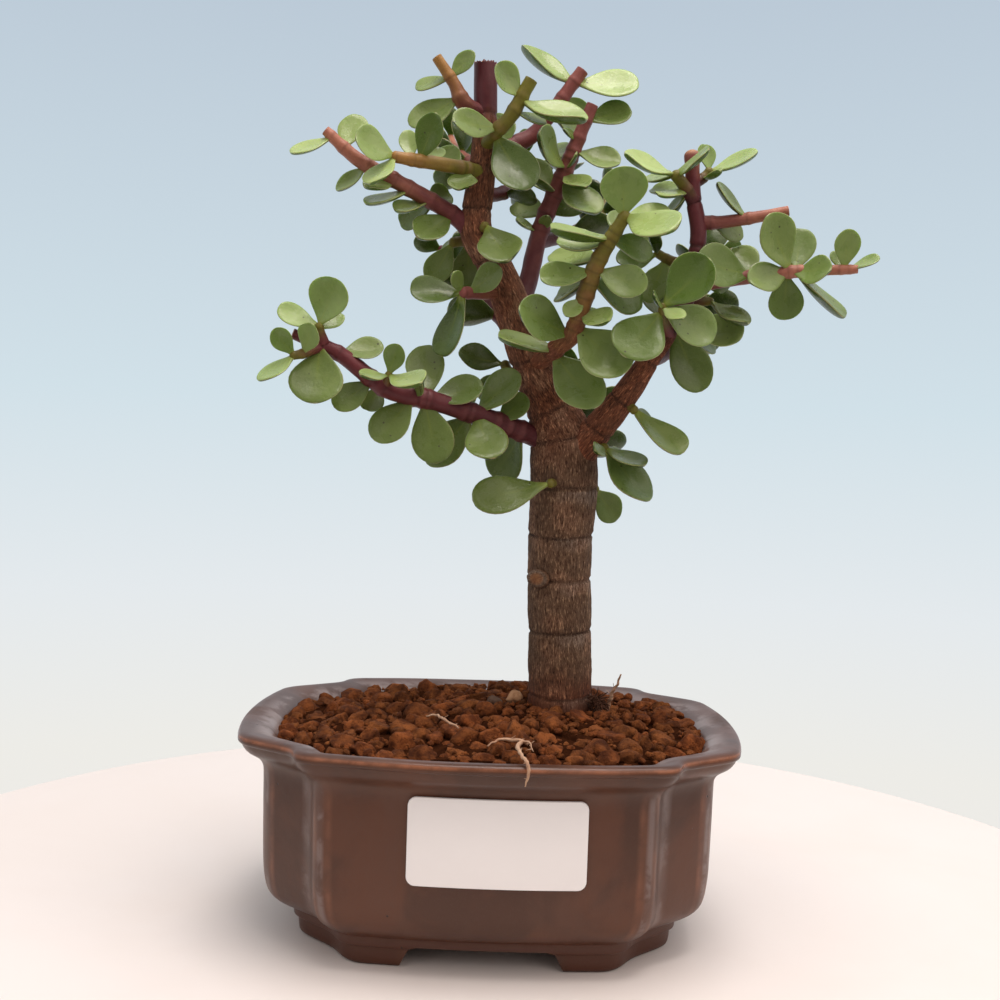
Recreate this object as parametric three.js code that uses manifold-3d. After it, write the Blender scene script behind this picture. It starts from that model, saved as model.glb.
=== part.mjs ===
// Dwarf jade bonsai in a glazed pot with stepped corners. Millimetres, +Z up, front towards -Y.
import * as THREE from "three";
import { mergeVertices } from "three/addons/utils/BufferGeometryUtils.js";
import Module from "manifold-3d";

const wasm = await Module();
wasm.setup();

// Driving sizes of the pot. Its four sides are bowed; a corner of it runs from the corner of a side over a
// step to the corner of the front, each given as x and y from the middle of the pot.
const POT_HEIGHT = 64;
const RIM = { width: 155, depth: 122, sideCorner: [72.7, 36.5], step: [54.9, 48.2], frontCorner: [53, 55.2] };
const FEET = { width: 118, depth: 87.4, sideCorner: [56.2, 22], step: [44.5, 32.5], frontCorner: [39, 41.6] };
const RIM_FLARE = RIM.sideCorner[0] - FEET.sideCorner[0];
const CORNER_REACH = 5; // how far from a corner its rounding starts
const STEP_REACH = 2.6;
const BOW_PLACES = [0.2, 0.65]; // points on a bowed side, from its middle to its corner
const FOOT_HEIGHT = 6.5;
const FOOT_THICKNESS = 7.5;
const FOOT_GAP_FRONT = 48; // open width between the front feet, at the ground
const FOOT_GAP_SIDE = 24;
const FOOT_SLOPE = 4; // how much further in a foot's end is at its top
const DRAIN_DIAMETER = 12;
const DRAIN_OFFSET = 28;
const FLOOR_TOP = 12;
const GAP = 0.35; // clearance left between touching pieces

// The body's wall between its rounded foot and its lip
const WALL_LOW = { offset: 9.4, z: 24 };
const WALL_HIGH = { offset: 9.8, z: 53.5 };

// Blank tag on the front panel
const TAG = { width: 50, height: 25, thickness: 0.8, corner: 2.5, x: 3.5, z: 40.5 };

// Growing medium
const SOIL_EDGE = 60.2;
const SOIL_MOUND = 5;
const SOIL_LUMP = 1.1;
const SOIL_RINGS = 9;

// Leaf proportions
const LEAF_BROAD = 0.72; // width for each mm of length
const LEAF_WIDEST = 0.62; // place of the widest line, from base to tip
const LEAF_THICK = 0.13; // thickness for each mm of length
const LEAF_THINNEST = 1.5;
const LEAF_SAG = 0.06;
const LEAF_CUP = 0.16;
const LEAF_ROOT = 1.4; // a leaf grows at least this far below the end of its shoot
const CLEARANCE = 0.5;

// The woody frame: centre line points and the radius at each
const TRUNK = {
  path: [[23, 13, 47], [22.5, 13, 65], [21.5, 12, 90], [20.5, 10.5, 116], [21, 9, 137.5], [20, 8, 152],
    [15.5, 7, 164], [9, 5, 177.5], [0, 2, 200], [-6, 2, 211], [-10, 2, 219], [-8.5, 2, 236],
    [-8, 2, 251], [-8.5, 2, 270]],
  radii: [10.6, 10.9, 10.5, 10.4, 10.9, 10.5, 7.8, 6.6, 5.5, 5.4, 5, 4.2, 3.7, 3.7],
};
const RIGHT_LIMB = {
  path: [[23, 6, 147], [33, 0, 159.5], [40, -5, 169.5], [46, -9, 179.5], [51, -12, 187], [56.5, -10, 200],
    [58.5, -10, 216], [56.5, -10, 228], [55.5, -11, 240]],
  radii: [6.4, 4.7, 4, 3.1, 2.4, 2.7, 2.5, 2.4, 2],
};
const PRUNED_KNOB = { at: [14, 2.2, 108], radius: 3.2 };

// Shoots. Each leaf: its place along the shoot, then how far its tip reaches right, back and up
// from there, the tilt of its face from front (0) to sky (90), and its breadth where it differs.
const SPRAYS = {
  low_left_branch: [
    { path: [[13, 6, 153], [-7, -4, 159.5], [-21.5, -9, 163.5], [-35, -14, 166.5], [-49.5, -18, 176.5],
        [-62.5, -22, 181.5]],
      radii: [3.4, 3.1, 3, 2.9, 2.3, 1.6],
      leaves: [[0.83, 13, 4, 3, 35], [0.68, -11, -3, -9, 30], [0.52, -11, -5, -14, 25],
        [0.64, -1, 3, -11, 25], [0.52, 3, -9, 5, 20, 0.62], [0.48, 5, -5, -19, 20],
        [0.29, -14, 3, -16, 35], [0.47, -2, 8, 17, 30], [0.46, 14, 8, 6, 40],
        [0.14, -7, -7, -5, 35, 0.75], [0.28, 7, -2, -19, 15], [0.27, 13, 4, -16, 30],
        [0.28, 14, 9, 9, 45], [0.32, 0, 7, 6, 30], [0.9, 0, -8, -18, 25, 0.9]],
      extra: [[0.08, -9, 9, -15, 35, 0.85], [0.19, 8, -3, 9, 30, 0.8]] },
    { path: [[-53.5, -20, 179], [-54.5, -22, 183], [-54.5, -23, 185]],
      radii: [1.7, 1.3, 1.1],
      leaves: [[1, 5, -3, 14, 25, 0.95], [0.96, -12, -2, 5, 40], [0.83, -10, 3, 2, 45],
        [0.7, 6, 5, 5, 30]] },
    { path: [[-55, -20, 178], [-59, -24, 175.5], [-62.5, -26, 174.5]],
      radii: [1.7, 1.4, 1.1],
      leaves: [[0.6, 4, -7, 8, 20], [1, -4, -2, 9, 30, 0.7], [0.98, -8, -3, -10, 65],
        [0.77, -6, 2, -8, 55]] },
    { path: [[-35, -15, 167], [-34, -18, 170], [-34, -19, 171.5]],
      radii: [1.6, 1.2, 1],
      leaves: [[1, -9, -5, 1, 55], [1, 3, -4, 9, 20, 0.75], [0.9, 15, -6, 2, 58]],
      extra: [[0.9, -9, -2, 2, 50, 0.5]] },
  ],
  high_left_branch: [
    { path: [[-12, 2, 218.5], [-19.5, -1, 223.5], [-34.5, -7, 230.5], [-46, -10, 236], [-56, -12, 244]],
      radii: [3, 2.6, 2.4, 2.2, 1.5],
      leaves: [[0.95, -12, -3, -6, 55], [0.86, 3, 8, 12, 30], [0.7, -9, 0, -8, 55],
        [0.42, -13, -6, -6, 60], [0.52, -10, -1, -9, 30], [0.28, -10, -8, 1, 60],
        [0.13, -10, -10, -9, 25], [0.24, -9, -4, -11, 25], [0.26, -12, 4, -8, 30]],
      extra: [[0.3, 9, 7, -1, 30, 0.8]] },
  ],
  olive_twig: [
    { path: [[-9.5, 0, 235.5], [-18.5, -6, 236], [-31.5, -11, 236.5], [-36, -12, 237]],
      radii: [2.4, 2.2, 1.9, 1.4],
      leaves: [[1, -11, -8, 4, 25, 1], [0.98, -10, -6, -9, 60], [0.69, 5, -5, 13, 25],
        [0.78, -2, 5, 10, 30, 0.6], [0.66, 5, 6, 8, 20], [0.22, -5, 6, 11, 25],
        [0.14, -2, -9, -8, 30, 0.85]] },
  ],
  left_hanging_twig: [
    { path: [[-7, 4, 215], [-14.5, 6, 215], [-18.5, 5, 214]],
      radii: [2, 1.7, 1.4],
      leaves: [[0.96, -7, 0, -13, 25], [0.72, -3, -8, -16, 20], [0.46, 0, 5, -17, 20],
        [1, -9, 5, -4, 40]] },
  ],
  left_low_twig: [
    { path: [[0, 1, 198.5], [-8.5, -4, 197.5], [-14, -8, 197]],
      radii: [2.2, 2, 1.6],
      leaves: [[0.8, 10, -6, 7, 20], [0.98, -16, -4, 0, 25], [1, -4, -4, 6, 25, 0.7],
        [1, -6, -2, -20, 70, 0.6]] },
  ],
  apex_left_shoot: [
    { path: [[-8, 1.5, 254], [-14.5, -2, 256], [-18, -3, 262], [-23.5, -4, 269.5]],
      radii: [2.2, 2.8, 1.9, 1.6],
      leaves: [[0.7, 7, 0, 8, 35], [0.7, -11, 4, -2, 40], [0.42, -16, -4, -7, 30]] },
  ],
  apex_front_shoot: [
    { path: [[-8, 1, 243.5], [-4, -6, 247], [0, -8, 251], [6, -9, 262]],
      radii: [2.2, 2.2, 2.2, 2],
      leaves: [[0.36, -14, -8, 0, 20], [0.26, 11, -7, -18, 20], [0.26, 10, 3, -19, 25],
        [0.78, -8, -5, 8, 30, 0.95], [0.75, 20, -6, -7, 62], [0.62, 10, 2, -3, 50]] },
  ],
  apex_right_shoot: [
    { path: [[-8, 4, 240.5], [2, 11, 247.5], [9, 13, 253], [22.5, 13, 272]],
      radii: [2.4, 2.9, 2.4, 2.1],
      leaves: [[0.9, -17, 0, 11, 60], [0.9, 21, 0, 0, 40], [0.77, 11, -2, 0, 35],
        [0.16, 0, 4, 13, 25], [0.64, 11, 8, -5, 35]] },
  ],
  apex_back_shoot: [
    { path: [[3, 5, 190], [7, 13, 203], [11, 15, 222], [18, 13, 240], [26, 10, 260.5]],
      radii: [3.2, 3.1, 2.9, 2.6, 1.9],
      leaves: [[0.93, 14, 0, 7, 35], [0.72, -13, -13, 6, 25], [0.77, -6, 4, 12, 30],
        [0.85, -5, -4, 2, 30], [0.8, 15, -2, -4, 45], [0.72, 1, -8, 4, 30, 0.6],
        [0.68, 11, -9, -13, 50], [0.6, -9, 3, 12, 30], [0.44, -8, -4, 3, 50],
        [0.44, 1, -5, 6, 30, 0.6], [0.52, -14, 5, 3, 30], [0.41, 6, -5, -7, 30]],
      extra: [[0.7, 12, -7, -3, 50, 0.7], [0.52, 13, 7, 4, 30, 0.72], [0.74, 0, 14, 6, 35, 0.85],
        [0.62, -12, -8, -6, 40, 0.6]] },
    { path: [[10, 15, 217], [20, 28, 222], [30, 38, 230], [36, 45, 240]],
      radii: [2.4, 2.2, 1.9, 1.4], pairs: 4, longest: 14 },
  ],
  front_centre_shoot: [
    { path: [[11, 1, 177], [17.5, -9, 181.5], [21.5, -15, 186], [27, -21, 204.5], [35.5, -25, 220]],
      radii: [3, 2.7, 2.7, 2.5, 1.7],
      leaves: [[0.32, -16, -9, 7, 25, 0.85], [0.18, -18, -5, 3, 55], [0.53, -6, -5, -6, 25, 0.62],
        [0.42, 9, 8, 2, 30], [0.67, -16, -3, -3, 35], [0.65, -17, 6, -3, 60],
        [0.68, 15, -4, -6, 25], [0.38, 15, -7, -14, 25, 0.85], [0.85, -18, -7, 1, 62],
        [0.82, -15, 4, 1, 45], [0.96, -1, -5, 14, 25, 1.05], [0.98, 14, 7, 3, 50],
        [0.97, 15, -12, -9, 25], [0.84, 13, 6, -6, 30], [0.88, 4, 8, 5, 30], [0.14, 14, -8, -17, 25]],
      extra: [[0.62, 19, 10, -6, 30, 0.8], [0.45, 9, -7, -5, 35, 0.85], [0.74, -14, 16, 3, 35, 0.58]] },
  ],
  limb_front_twig: [
    { path: [[50.5, -12, 185.5], [48, -17, 189.5], [47, -21, 194]],
      radii: [2, 1.6, 1.2],
      leaves: [[0.76, -12, -8, -14, 20, 0.9], [1, -5, -6, 2, 30], [1, 3, -8, -3, 30],
        [1, 13, -4, 14, 25, 0.85], [0.94, 17, -5, -5, 25, 0.8], [0.74, 18, 2, -6, 60],
        [0.3, -20, -3, -18, 65]] },
  ],
  limb_back_twig: [
    { path: [[50.5, -11.5, 187], [53.5, -4, 190.5], [59, 3, 193.5]],
      radii: [1.9, 1.6, 1.2],
      leaves: [[0.3, 4, 0, -22, 30, 0.65], [0.58, 13, 6, -11, 50], [0.93, 15, 2, -12, 25],
        [0.62, -11, 3, 9, 30], [1, -10, 6, 19, 30]] },
  ],
  limb_inner_twig: [
    { path: [[58, -10, 207], [51, -6, 209], [46, -4, 212]],
      radii: [1.9, 1.6, 1.2],
      leaves: [[1, -13, -3, -3, 25], [0.9, -7, 4, 8, 30], [0.7, -9, -1, -12, 25],
        [1, -3, -8, 6, 45]] },
  ],
  right_hanging_twig: [
    { path: [[56, -9, 197], [62, -5, 197], [65, -3.5, 197.5]],
      radii: [1.7, 1.4, 1],
      leaves: [[0.9, 10, -2, -19, 65, 0.6], [1, 5, 6, -14, 30]] },
  ],
  far_right_branch: [
    { path: [[57, -10, 201], [64.5, -10, 202.5], [86, -14, 205.5], [105.5, -17, 206.5]],
      radii: [2.5, 2.3, 1.9, 1.3],
      leaves: [[0.38, -16, -9, 5, 20, 0.85], [0.4, -5, 6, 12, 30], [0.6, -10, -3, 16, 25, 0.75],
        [0.63, 3, 6, 14, 30], [0.66, -2, 5, 13, 30], [0.6, -13, -9, 5, 22, 0.8],
        [0.61, 11, -7, -2, 25, 0.85], [0.58, 1, -3, -14, 20, 0.85], [0.65, 15, 1, -13, 65],
        [0.91, -2, 3, 6, 30], [0.92, 0, -1, 12, 60], [0.94, 9, -1, 4, 55], [0.99, 4, 3, 1, 30]] },
  ],
  right_bare_shoot: [
    { path: [[57.5, -9.5, 220.5], [65, -10, 220.5], [78, -12, 222.5], [85, -13, 224]],
      radii: [2.1, 2, 1.7, 1.5],
      leaves: [[0.56, -10, -2, 10, 60], [0.16, 9, -4, 5, 30, 0.75], [0.14, -7, -6, -1, 25],
        [0.17, 11, 6, -2, 25]] },
  ],
  right_top_twig: [
    { path: [[57, -10, 226.5], [53.5, -12, 230.5], [49.5, -14, 234.5]],
      radii: [2.2, 1.9, 1.6],
      leaves: [[1, -16, -4, 5, 50], [1, -9, 5, 8, 45], [1, 9, -6, 8, 58], [0.36, -11, -7, 1, 60],
        [0.42, -12, 5, 2, 50], [0.36, -14, 4, -3, 55]] },
  ],
  right_tip_twig: [
    { path: [[56, -10, 231.5], [59.5, -9, 234], [62, -9, 237]],
      radii: [1.8, 1.5, 1.2],
      leaves: [[1, -3, 0, 9, 50], [1, 14, -3, 6, 60], [0.5, 9, -8, 0, 55]] },
  ],
  fork_twig: [
    { path: [[25, 4, 150], [32, -1, 150.5], [34, -3, 151]],
      radii: [1.8, 1.5, 1.2],
      leaves: [[0.9, 14, -4, -16, 60], [1, 12, 7, -5, 30], [0.9, 6, 8, -9, 30],
        [0.9, -5, -7, 1, 30]],
      extra: [[0.95, 12, -7, -5, 65, 0.85]] },
  ],
  limb_low_twig: [
    { path: [[38, -3, 166], [41, -6, 163], [42, -7.5, 162]],
      radii: [1.6, 1.4, 1.1],
      leaves: [[1, 15, -6, -12.5, 62], [0.8, 10, 8, -4, 30]] },
  ],
  ring_leaf_left: [
    { path: [[19, 5, 139], [16.5, -3, 139], [15.5, -5, 139]], radii: [1.6, 1.4, 1.1],
      leaves: [[0.98, -24, -5, -6, 35, 0.6]] },
  ],
  ring_leaf_right: [
    { path: [[22, 10, 137], [31, 15, 137], [33, 16, 137]], radii: [1.6, 1.4, 1.1],
      leaves: [[0.98, 8, 6, -10, 25, 0.8]] },
  ],
  leader_leaf_front: [
    { path: [[-8, 2, 217], [-7, -4, 218], [-6.5, -6, 218]], radii: [1.6, 1.4, 1.1],
      leaves: [[0.98, 9, -6, -17, 20, 0.75]] },
  ],
  trunk_left_twig: [
    { path: [[14, 8, 164], [3, 11, 173], [0, 12, 178]],
      radii: [2.2, 1.8, 1.4],
      leaves: [[1, -15, -3, 3, 30], [0.78, -10, 3, -8, 30], [0.68, -10, 7, 0, 40]] },
  ],
  back_low_branch: [
    { path: [[21, 12, 140], [24, 25, 146], [28, 38, 155], [30, 50, 168], [28, 57, 181]],
      radii: [3.3, 3, 2.7, 2.2, 1.5], pairs: 5, longest: 16 },
  ],
  back_left_branch: [
    { path: [[7, 7, 180], [0, 18, 191], [-8, 28, 201], [-17, 37, 210], [-24, 42, 219]],
      radii: [3, 2.7, 2.4, 2, 1.4], pairs: 5, longest: 15 },
  ],
  back_right_branch: [
    { path: [[45, -7, 178], [51, 5, 181], [59, 18, 188], [65, 28, 200], [69, 36, 213]],
      radii: [2.6, 2.4, 2.2, 1.8, 1.3], pairs: 5, longest: 15 },
  ],
  back_high_twig: [
    { path: [[-9, 3, 235.5], [-13, 14, 242], [-18, 25, 247.5], [-21, 34, 255]],
      radii: [2.3, 2, 1.8, 1.3], pairs: 4, longest: 14 },
  ],
  back_top_twig: [
    { path: [[-8, 3, 229], [-2, 17, 233], [3, 30, 240], [5, 41, 251]],
      radii: [2.4, 2.2, 1.9, 1.3], pairs: 4, longest: 14 },
  ],
  back_limb_twig: [
    { path: [[58.5, -9, 210], [63, 4, 211], [68, 16, 214], [70, 27, 220]],
      radii: [2.2, 2, 1.7, 1.3], pairs: 4, longest: 12 },
  ],
};
const PAIR_TURN = Math.PI / 2;
const PAIR_OPENING = (62 * Math.PI) / 180;
const DRAW_SEED = 20617;

const PALETTE = {
  glaze: { color: 0x6b4a38, roughness: 0.42, metalness: 0 },
  grit: { color: 0x7d4a33, roughness: 0.95, metalness: 0 },
  mesh: { color: 0x1c1c1c, roughness: 0.7, metalness: 0 },
  bark: { color: 0x7a5543, roughness: 0.85, metalness: 0 },
  leaf: { color: 0x5f8a3c, roughness: 0.45, metalness: 0 },
  tag: { color: 0xf4f3f0, roughness: 0.6, metalness: 0 },
  root: { color: 0xb09a80, roughness: 0.9, metalness: 0 },
};

/** Seeded draws between 0 and 1, the same on every run. */
class Draw {
  constructor(seed) {
    this.state = seed >>> 0;
  }
  next() {
    this.state = (Math.imul(this.state, 1664525) + 1013904223) >>> 0;
    return this.state / 4294967296;
  }
  spread(amount) {
    return (this.next() * 2 - 1) * amount;
  }
}

const vec = ([x, y, z]) => new THREE.Vector3(x, y, z);
const radians = (degrees) => (degrees * Math.PI) / 180;

/** A closed mesh as a solid that can be joined and cut. */
function solid(geometry) {
  const bare = geometry.clone();
  bare.deleteAttribute("normal");
  bare.deleteAttribute("uv");
  const merged = mergeVertices(bare, 1e-4);
  const place = merged.attributes.position.array;
  const kept = [];
  for (let i = 0; i < merged.index.count; i += 3) {
    const corner = [0, 1, 2].map((k) => merged.index.array[i + k]);
    if (new Set(corner).size === 3) kept.push(...corner);
  }
  if (signedVolume(place, kept) < 0) kept.reverse();
  return new wasm.Manifold(new wasm.Mesh({
    numProp: 3,
    vertProperties: new Float32Array(place),
    triVerts: new Uint32Array(kept),
  }));
}

function signedVolume(place, corners) {
  const at = (i) => new THREE.Vector3().fromArray(place, i * 3);
  let total = 0;
  for (let i = 0; i < corners.length; i += 3) {
    total += at(corners[i]).dot(at(corners[i + 1]).cross(at(corners[i + 2])));
  }
  return total / 6;
}

function union(solids) {
  return solids.reduce((whole, next) => whole.add(next));
}

function named(name, shape, finish) {
  const cut = shape.getMesh();
  const geometry = new THREE.BufferGeometry();
  geometry.setAttribute("position", new THREE.BufferAttribute(cut.vertProperties, 3));
  geometry.setIndex(new THREE.BufferAttribute(cut.triVerts, 1));
  geometry.computeVertexNormals();
  const mesh = new THREE.Mesh(geometry, new THREE.MeshStandardMaterial(PALETTE[finish]));
  mesh.name = name;
  return mesh;
}

/** Points along a smooth line through the given ones, with the radius at each. */
function flowLine(path, radii, perSpan = 6) {
  const knots = path.map(vec);
  const count = knots.length;
  const before = knots[0].clone().multiplyScalar(2).sub(knots[1]);
  const after = knots[count - 1].clone().multiplyScalar(2).sub(knots[count - 2]);
  const reach = [before, ...knots, after];
  const points = [];
  for (let span = 0; span < count - 1; span += 1) {
    const [a, b, c, d] = reach.slice(span, span + 4);
    for (let step = 0; step < perSpan; step += 1) {
      points.push(spanPoint(a, b, c, d, step / perSpan, radii[span], radii[span + 1]));
    }
  }
  points.push({ at: knots[count - 1], radius: radii[count - 1], run: 0 });
  for (let i = 1; i < points.length; i += 1) {
    points[i].run = points[i - 1].run + points[i].at.distanceTo(points[i - 1].at);
  }
  return points;
}

function spanPoint(a, b, c, d, t, startRadius, endRadius) {
  const at = new THREE.Vector3();
  const weights = [
    -0.5 * t + t * t - 0.5 * t ** 3,
    1 - 2.5 * t * t + 1.5 * t ** 3,
    0.5 * t + 2 * t * t - 1.5 * t ** 3,
    -0.5 * t * t + 0.5 * t ** 3,
  ];
  [a, b, c, d].forEach((knot, i) => at.addScaledVector(knot, weights[i]));
  return { at, radius: startRadius + (endRadius - startRadius) * t, run: 0 };
}

/** The point, direction and radius at a place (0 to 1) along a flow line. */
function along(line, place) {
  const wanted = place * line[line.length - 1].run;
  let i = 0;
  while (i < line.length - 2 && line[i + 1].run < wanted) i += 1;
  const share = (wanted - line[i].run) / (line[i + 1].run - line[i].run);
  return {
    at: line[i].at.clone().lerp(line[i + 1].at, share),
    heading: line[i + 1].at.clone().sub(line[i].at).normalize(),
    radius: line[i].radius + (line[i + 1].radius - line[i].radius) * share,
  };
}

/** A closed tapering stem: a capped cylinder bent onto the line. */
function stem(path, radii, sides, steps, swell = 0) {
  const line = flowLine(path, radii);
  const shape = new THREE.CylinderGeometry(1, 1, 1, sides, steps);
  const place = shape.attributes.position;
  const overall = line[line.length - 1].at.clone().sub(line[0].at).normalize();
  const aside = Math.abs(overall.x) < 0.7 ? new THREE.Vector3(1, 0, 0) : new THREE.Vector3(0, 1, 0);
  for (let i = 0; i < place.count; i += 1) {
    const { at, heading, radius } = along(line, 0.5 - place.getY(i));
    const across = new THREE.Vector3().crossVectors(heading, aside).normalize();
    const upright = new THREE.Vector3().crossVectors(heading, across);
    at.addScaledVector(across, place.getX(i) * (radius + swell));
    at.addScaledVector(upright, place.getZ(i) * (radius + swell));
    place.setXYZ(i, at.x, at.y, at.z);
  }
  return solid(shape);
}

/** Half width of a leaf blade, as a share of its greatest, at a place from base to tip. */
function bladeShare(place) {
  if (place < LEAF_WIDEST) return Math.sin((Math.PI / 2) * (place / LEAF_WIDEST)) ** 1.3;
  return Math.sqrt(Math.max(0, 1 - ((place - LEAF_WIDEST) / (1 - LEAF_WIDEST)) ** 2));
}

/** Height of the blade's middle surface above its chord; the rims rise towards the face. */
function bladeRise(leaf, place, side) {
  return -LEAF_SAG * leaf.length * 4 * place * (1 - place)
    + LEAF_CUP * side * side * bladeShare(place) * leaf.width * 0.5;
}

function makeLeaf(base, reach, face, broad) {
  const length = reach.length();
  const axis = reach.clone().normalize();
  const normal = face.clone().addScaledVector(axis, -face.dot(axis)).normalize();
  return {
    base, axis, normal, length,
    across: new THREE.Vector3().crossVectors(axis, normal),
    width: length * broad,
    thick: Math.max(LEAF_THINNEST, LEAF_THICK * length),
  };
}

function leafPoint(leaf, place, side, depth = 0) {
  return leaf.base.clone()
    .addScaledVector(leaf.axis, place * leaf.length)
    .addScaledVector(leaf.across, side * bladeShare(place) * leaf.width * 0.5)
    .addScaledVector(leaf.normal, bladeRise(leaf, place, side) + depth);
}

/** A closed leaf: a coarse ball flattened and drawn out into a cupped blade. */
function leafSolid(leaf) {
  const shape = new THREE.SphereGeometry(1, 4, 4);
  const place = shape.attributes.position;
  for (let i = 0; i < place.count; i += 1) {
    const from = (1 - place.getY(i)) / 2;
    const ring = Math.sqrt(Math.max(0, 1 - place.getY(i) ** 2));
    const side = ring > 1e-6 ? place.getX(i) / ring : 0;
    const level = ring > 1e-6 ? place.getZ(i) / ring : 0;
    const depth = level * leaf.thick * 0.5 * Math.sqrt(ring);
    const at = leafPoint(leaf, from, side, depth);
    place.setXYZ(i, at.x, at.y, at.z);
  }
  return solid(shape);
}

const PROBES = [];
for (const place of [0.3, 0.5, 0.7, 0.88]) {
  for (const side of [-0.95, -0.5, 0, 0.5, 0.95]) PROBES.push([place, side]);
}
PROBES.push([1, 0]);

function probePoints(leaf) {
  return PROBES.map(([place, side]) => leafPoint(leaf, place, side));
}

/** Whether any probe of one leaf comes too near the blade of another. */
function pierces(points, leaf) {
  return points.some((point) => {
    const from = point.clone().sub(leaf.base);
    const place = from.dot(leaf.axis) / leaf.length;
    if (place < 0.2 || place > 1.06) return false;
    const half = bladeShare(Math.min(place, 0.97)) * leaf.width * 0.5;
    const side = from.dot(leaf.across) / half;
    if (Math.abs(side) > 1 + 0.9 / half) return false;
    const limit = Math.max(-1, Math.min(1, side));
    const off = from.dot(leaf.normal) - bladeRise(leaf, Math.min(place, 1), limit);
    return Math.abs(off) < leaf.thick + CLEARANCE;
  });
}

/** Whether a leaf comes too near a stem; near its own base it may touch its own one. */
function meetsStem(leaf, line, own) {
  return PROBES.some(([place, side]) => {
    if (own && place < 0.6) return false;
    const point = leafPoint(leaf, place, side);
    return line.some(({ at, radius }) => point.distanceTo(at) < radius + leaf.thick * 0.5 + CLEARANCE);
  });
}

const LEAF_SIZES = [1, 0.86, 0.72];
const BENDS = [[0, 0], [14, 0], [-14, 0], [0, 16], [0, -16], [26, 0], [-26, 0], [14, 16], [14, -16],
  [-14, 16], [-14, -16], [0, 30], [0, -30], [38, 0], [-38, 0], [26, 26], [26, -26]];

/** The same leaf, smaller and swung about its base, out of its own plane and then sideways. */
function bent(leaf, size, [lift, swing]) {
  const turned = { ...leaf, length: leaf.length * size, width: leaf.width * size };
  const rise = new THREE.Quaternion().setFromAxisAngle(leaf.across, radians(-lift));
  const yaw = new THREE.Quaternion().setFromAxisAngle(leaf.normal, radians(swing));
  const turn = rise.multiply(yaw);
  for (const key of ["axis", "normal", "across"]) turned[key] = leaf[key].clone().applyQuaternion(turn);
  return turned;
}

/** Where a leaf grows on a shoot, never right at its cut end. */
function leafNode(line, place) {
  return along(line, Math.min(place, 1 - LEAF_ROOT / line[line.length - 1].run));
}

/** Leaves as measured along one shoot. */
function measuredLeaves(rows, line) {
  return rows.map(([place, right, back, up, tilt, broad = LEAF_BROAD]) => {
    const face = new THREE.Vector3(0, -Math.cos(radians(tilt)), Math.sin(radians(tilt)));
    return makeLeaf(leafNode(line, place).at, new THREE.Vector3(right, back, up), face, broad);
  });
}

/** Opposite pairs up a shoot, each pair a quarter turn on from the one below it. */
function pairedLeaves(shoot, line, draw) {
  const leaves = [];
  const end = line[line.length - 1].at.clone().sub(line[0].at);
  const outward = new THREE.Vector3(end.x, end.y, 0).normalize();
  for (let pair = 0; pair < shoot.pairs; pair += 1) {
    const place = 0.34 + (0.66 * pair) / (shoot.pairs - 1);
    const { at, heading, radius } = leafNode(line, place);
    const level = new THREE.Vector3().crossVectors(heading, new THREE.Vector3(0, 0, 1)).normalize();
    level.applyAxisAngle(heading, pair * PAIR_TURN + draw.spread(0.25));
    const size = shoot.longest * (1 - (0.35 * pair) / (shoot.pairs - 1));
    for (const way of [1, -1]) {
      const opening = PAIR_OPENING + draw.spread(0.14);
      const reach = heading.clone().multiplyScalar(Math.cos(opening))
        .addScaledVector(level, way * Math.sin(opening));
      reach.multiplyScalar(size * (1 + draw.spread(0.12)) + radius);
      const tilt = radians(45 + draw.spread(25));
      const face = outward.clone().multiplyScalar(Math.cos(tilt));
      face.z = Math.sin(tilt);
      leaves.push(makeLeaf(at, reach, face, LEAF_BROAD + 0.06 + draw.spread(0.07)));
    }
  }
  return leaves;
}

/** Every shoot with its leaves, each bent clear of what already stands in its way. */
function growSprays() {
  const wood = [TRUNK, RIGHT_LIMB].map(({ path, radii }) => flowLine(path, radii));
  const shoots = [];
  for (const [spray, list] of Object.entries(SPRAYS)) {
    for (const shoot of list) shoots.push({ spray, shoot, line: flowLine(shoot.path, shoot.radii) });
  }
  const draw = new Draw(DRAW_SEED);
  const placed = [];
  const settle = (entry, wished) => {
    for (const leaf of wished) {
      const free = LEAF_SIZES.flatMap((size) => BENDS.map((bend) => bent(leaf, size, bend)))
        .find((option) => isClear(option, entry, wood, shoots, placed));
      if (!free) continue;
      entry.leaves.push(free);
      placed.push({ leaf: free, points: probePoints(free) });
    }
  };
  for (const entry of shoots) {
    entry.leaves = [];
    settle(entry, entry.shoot.leaves
      ? measuredLeaves(entry.shoot.leaves, entry.line)
      : pairedLeaves(entry.shoot, entry.line, draw));
  }
  for (const entry of shoots) settle(entry, measuredLeaves(entry.shoot.extra ?? [], entry.line));
  return shoots;
}

function isClear(leaf, entry, wood, shoots, placed) {
  if (wood.some((line) => meetsStem(leaf, line, false))) return false;
  if (shoots.some(({ line }) => meetsStem(leaf, line, line === entry.line))) return false;
  const points = probePoints(leaf);
  const middle = points[7];
  return !placed.some((other) => middle.distanceTo(other.points[7]) < (leaf.length + other.leaf.length) * 0.62
    && (pierces(points, other.leaf) || pierces(other.points, leaf)));
}

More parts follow.
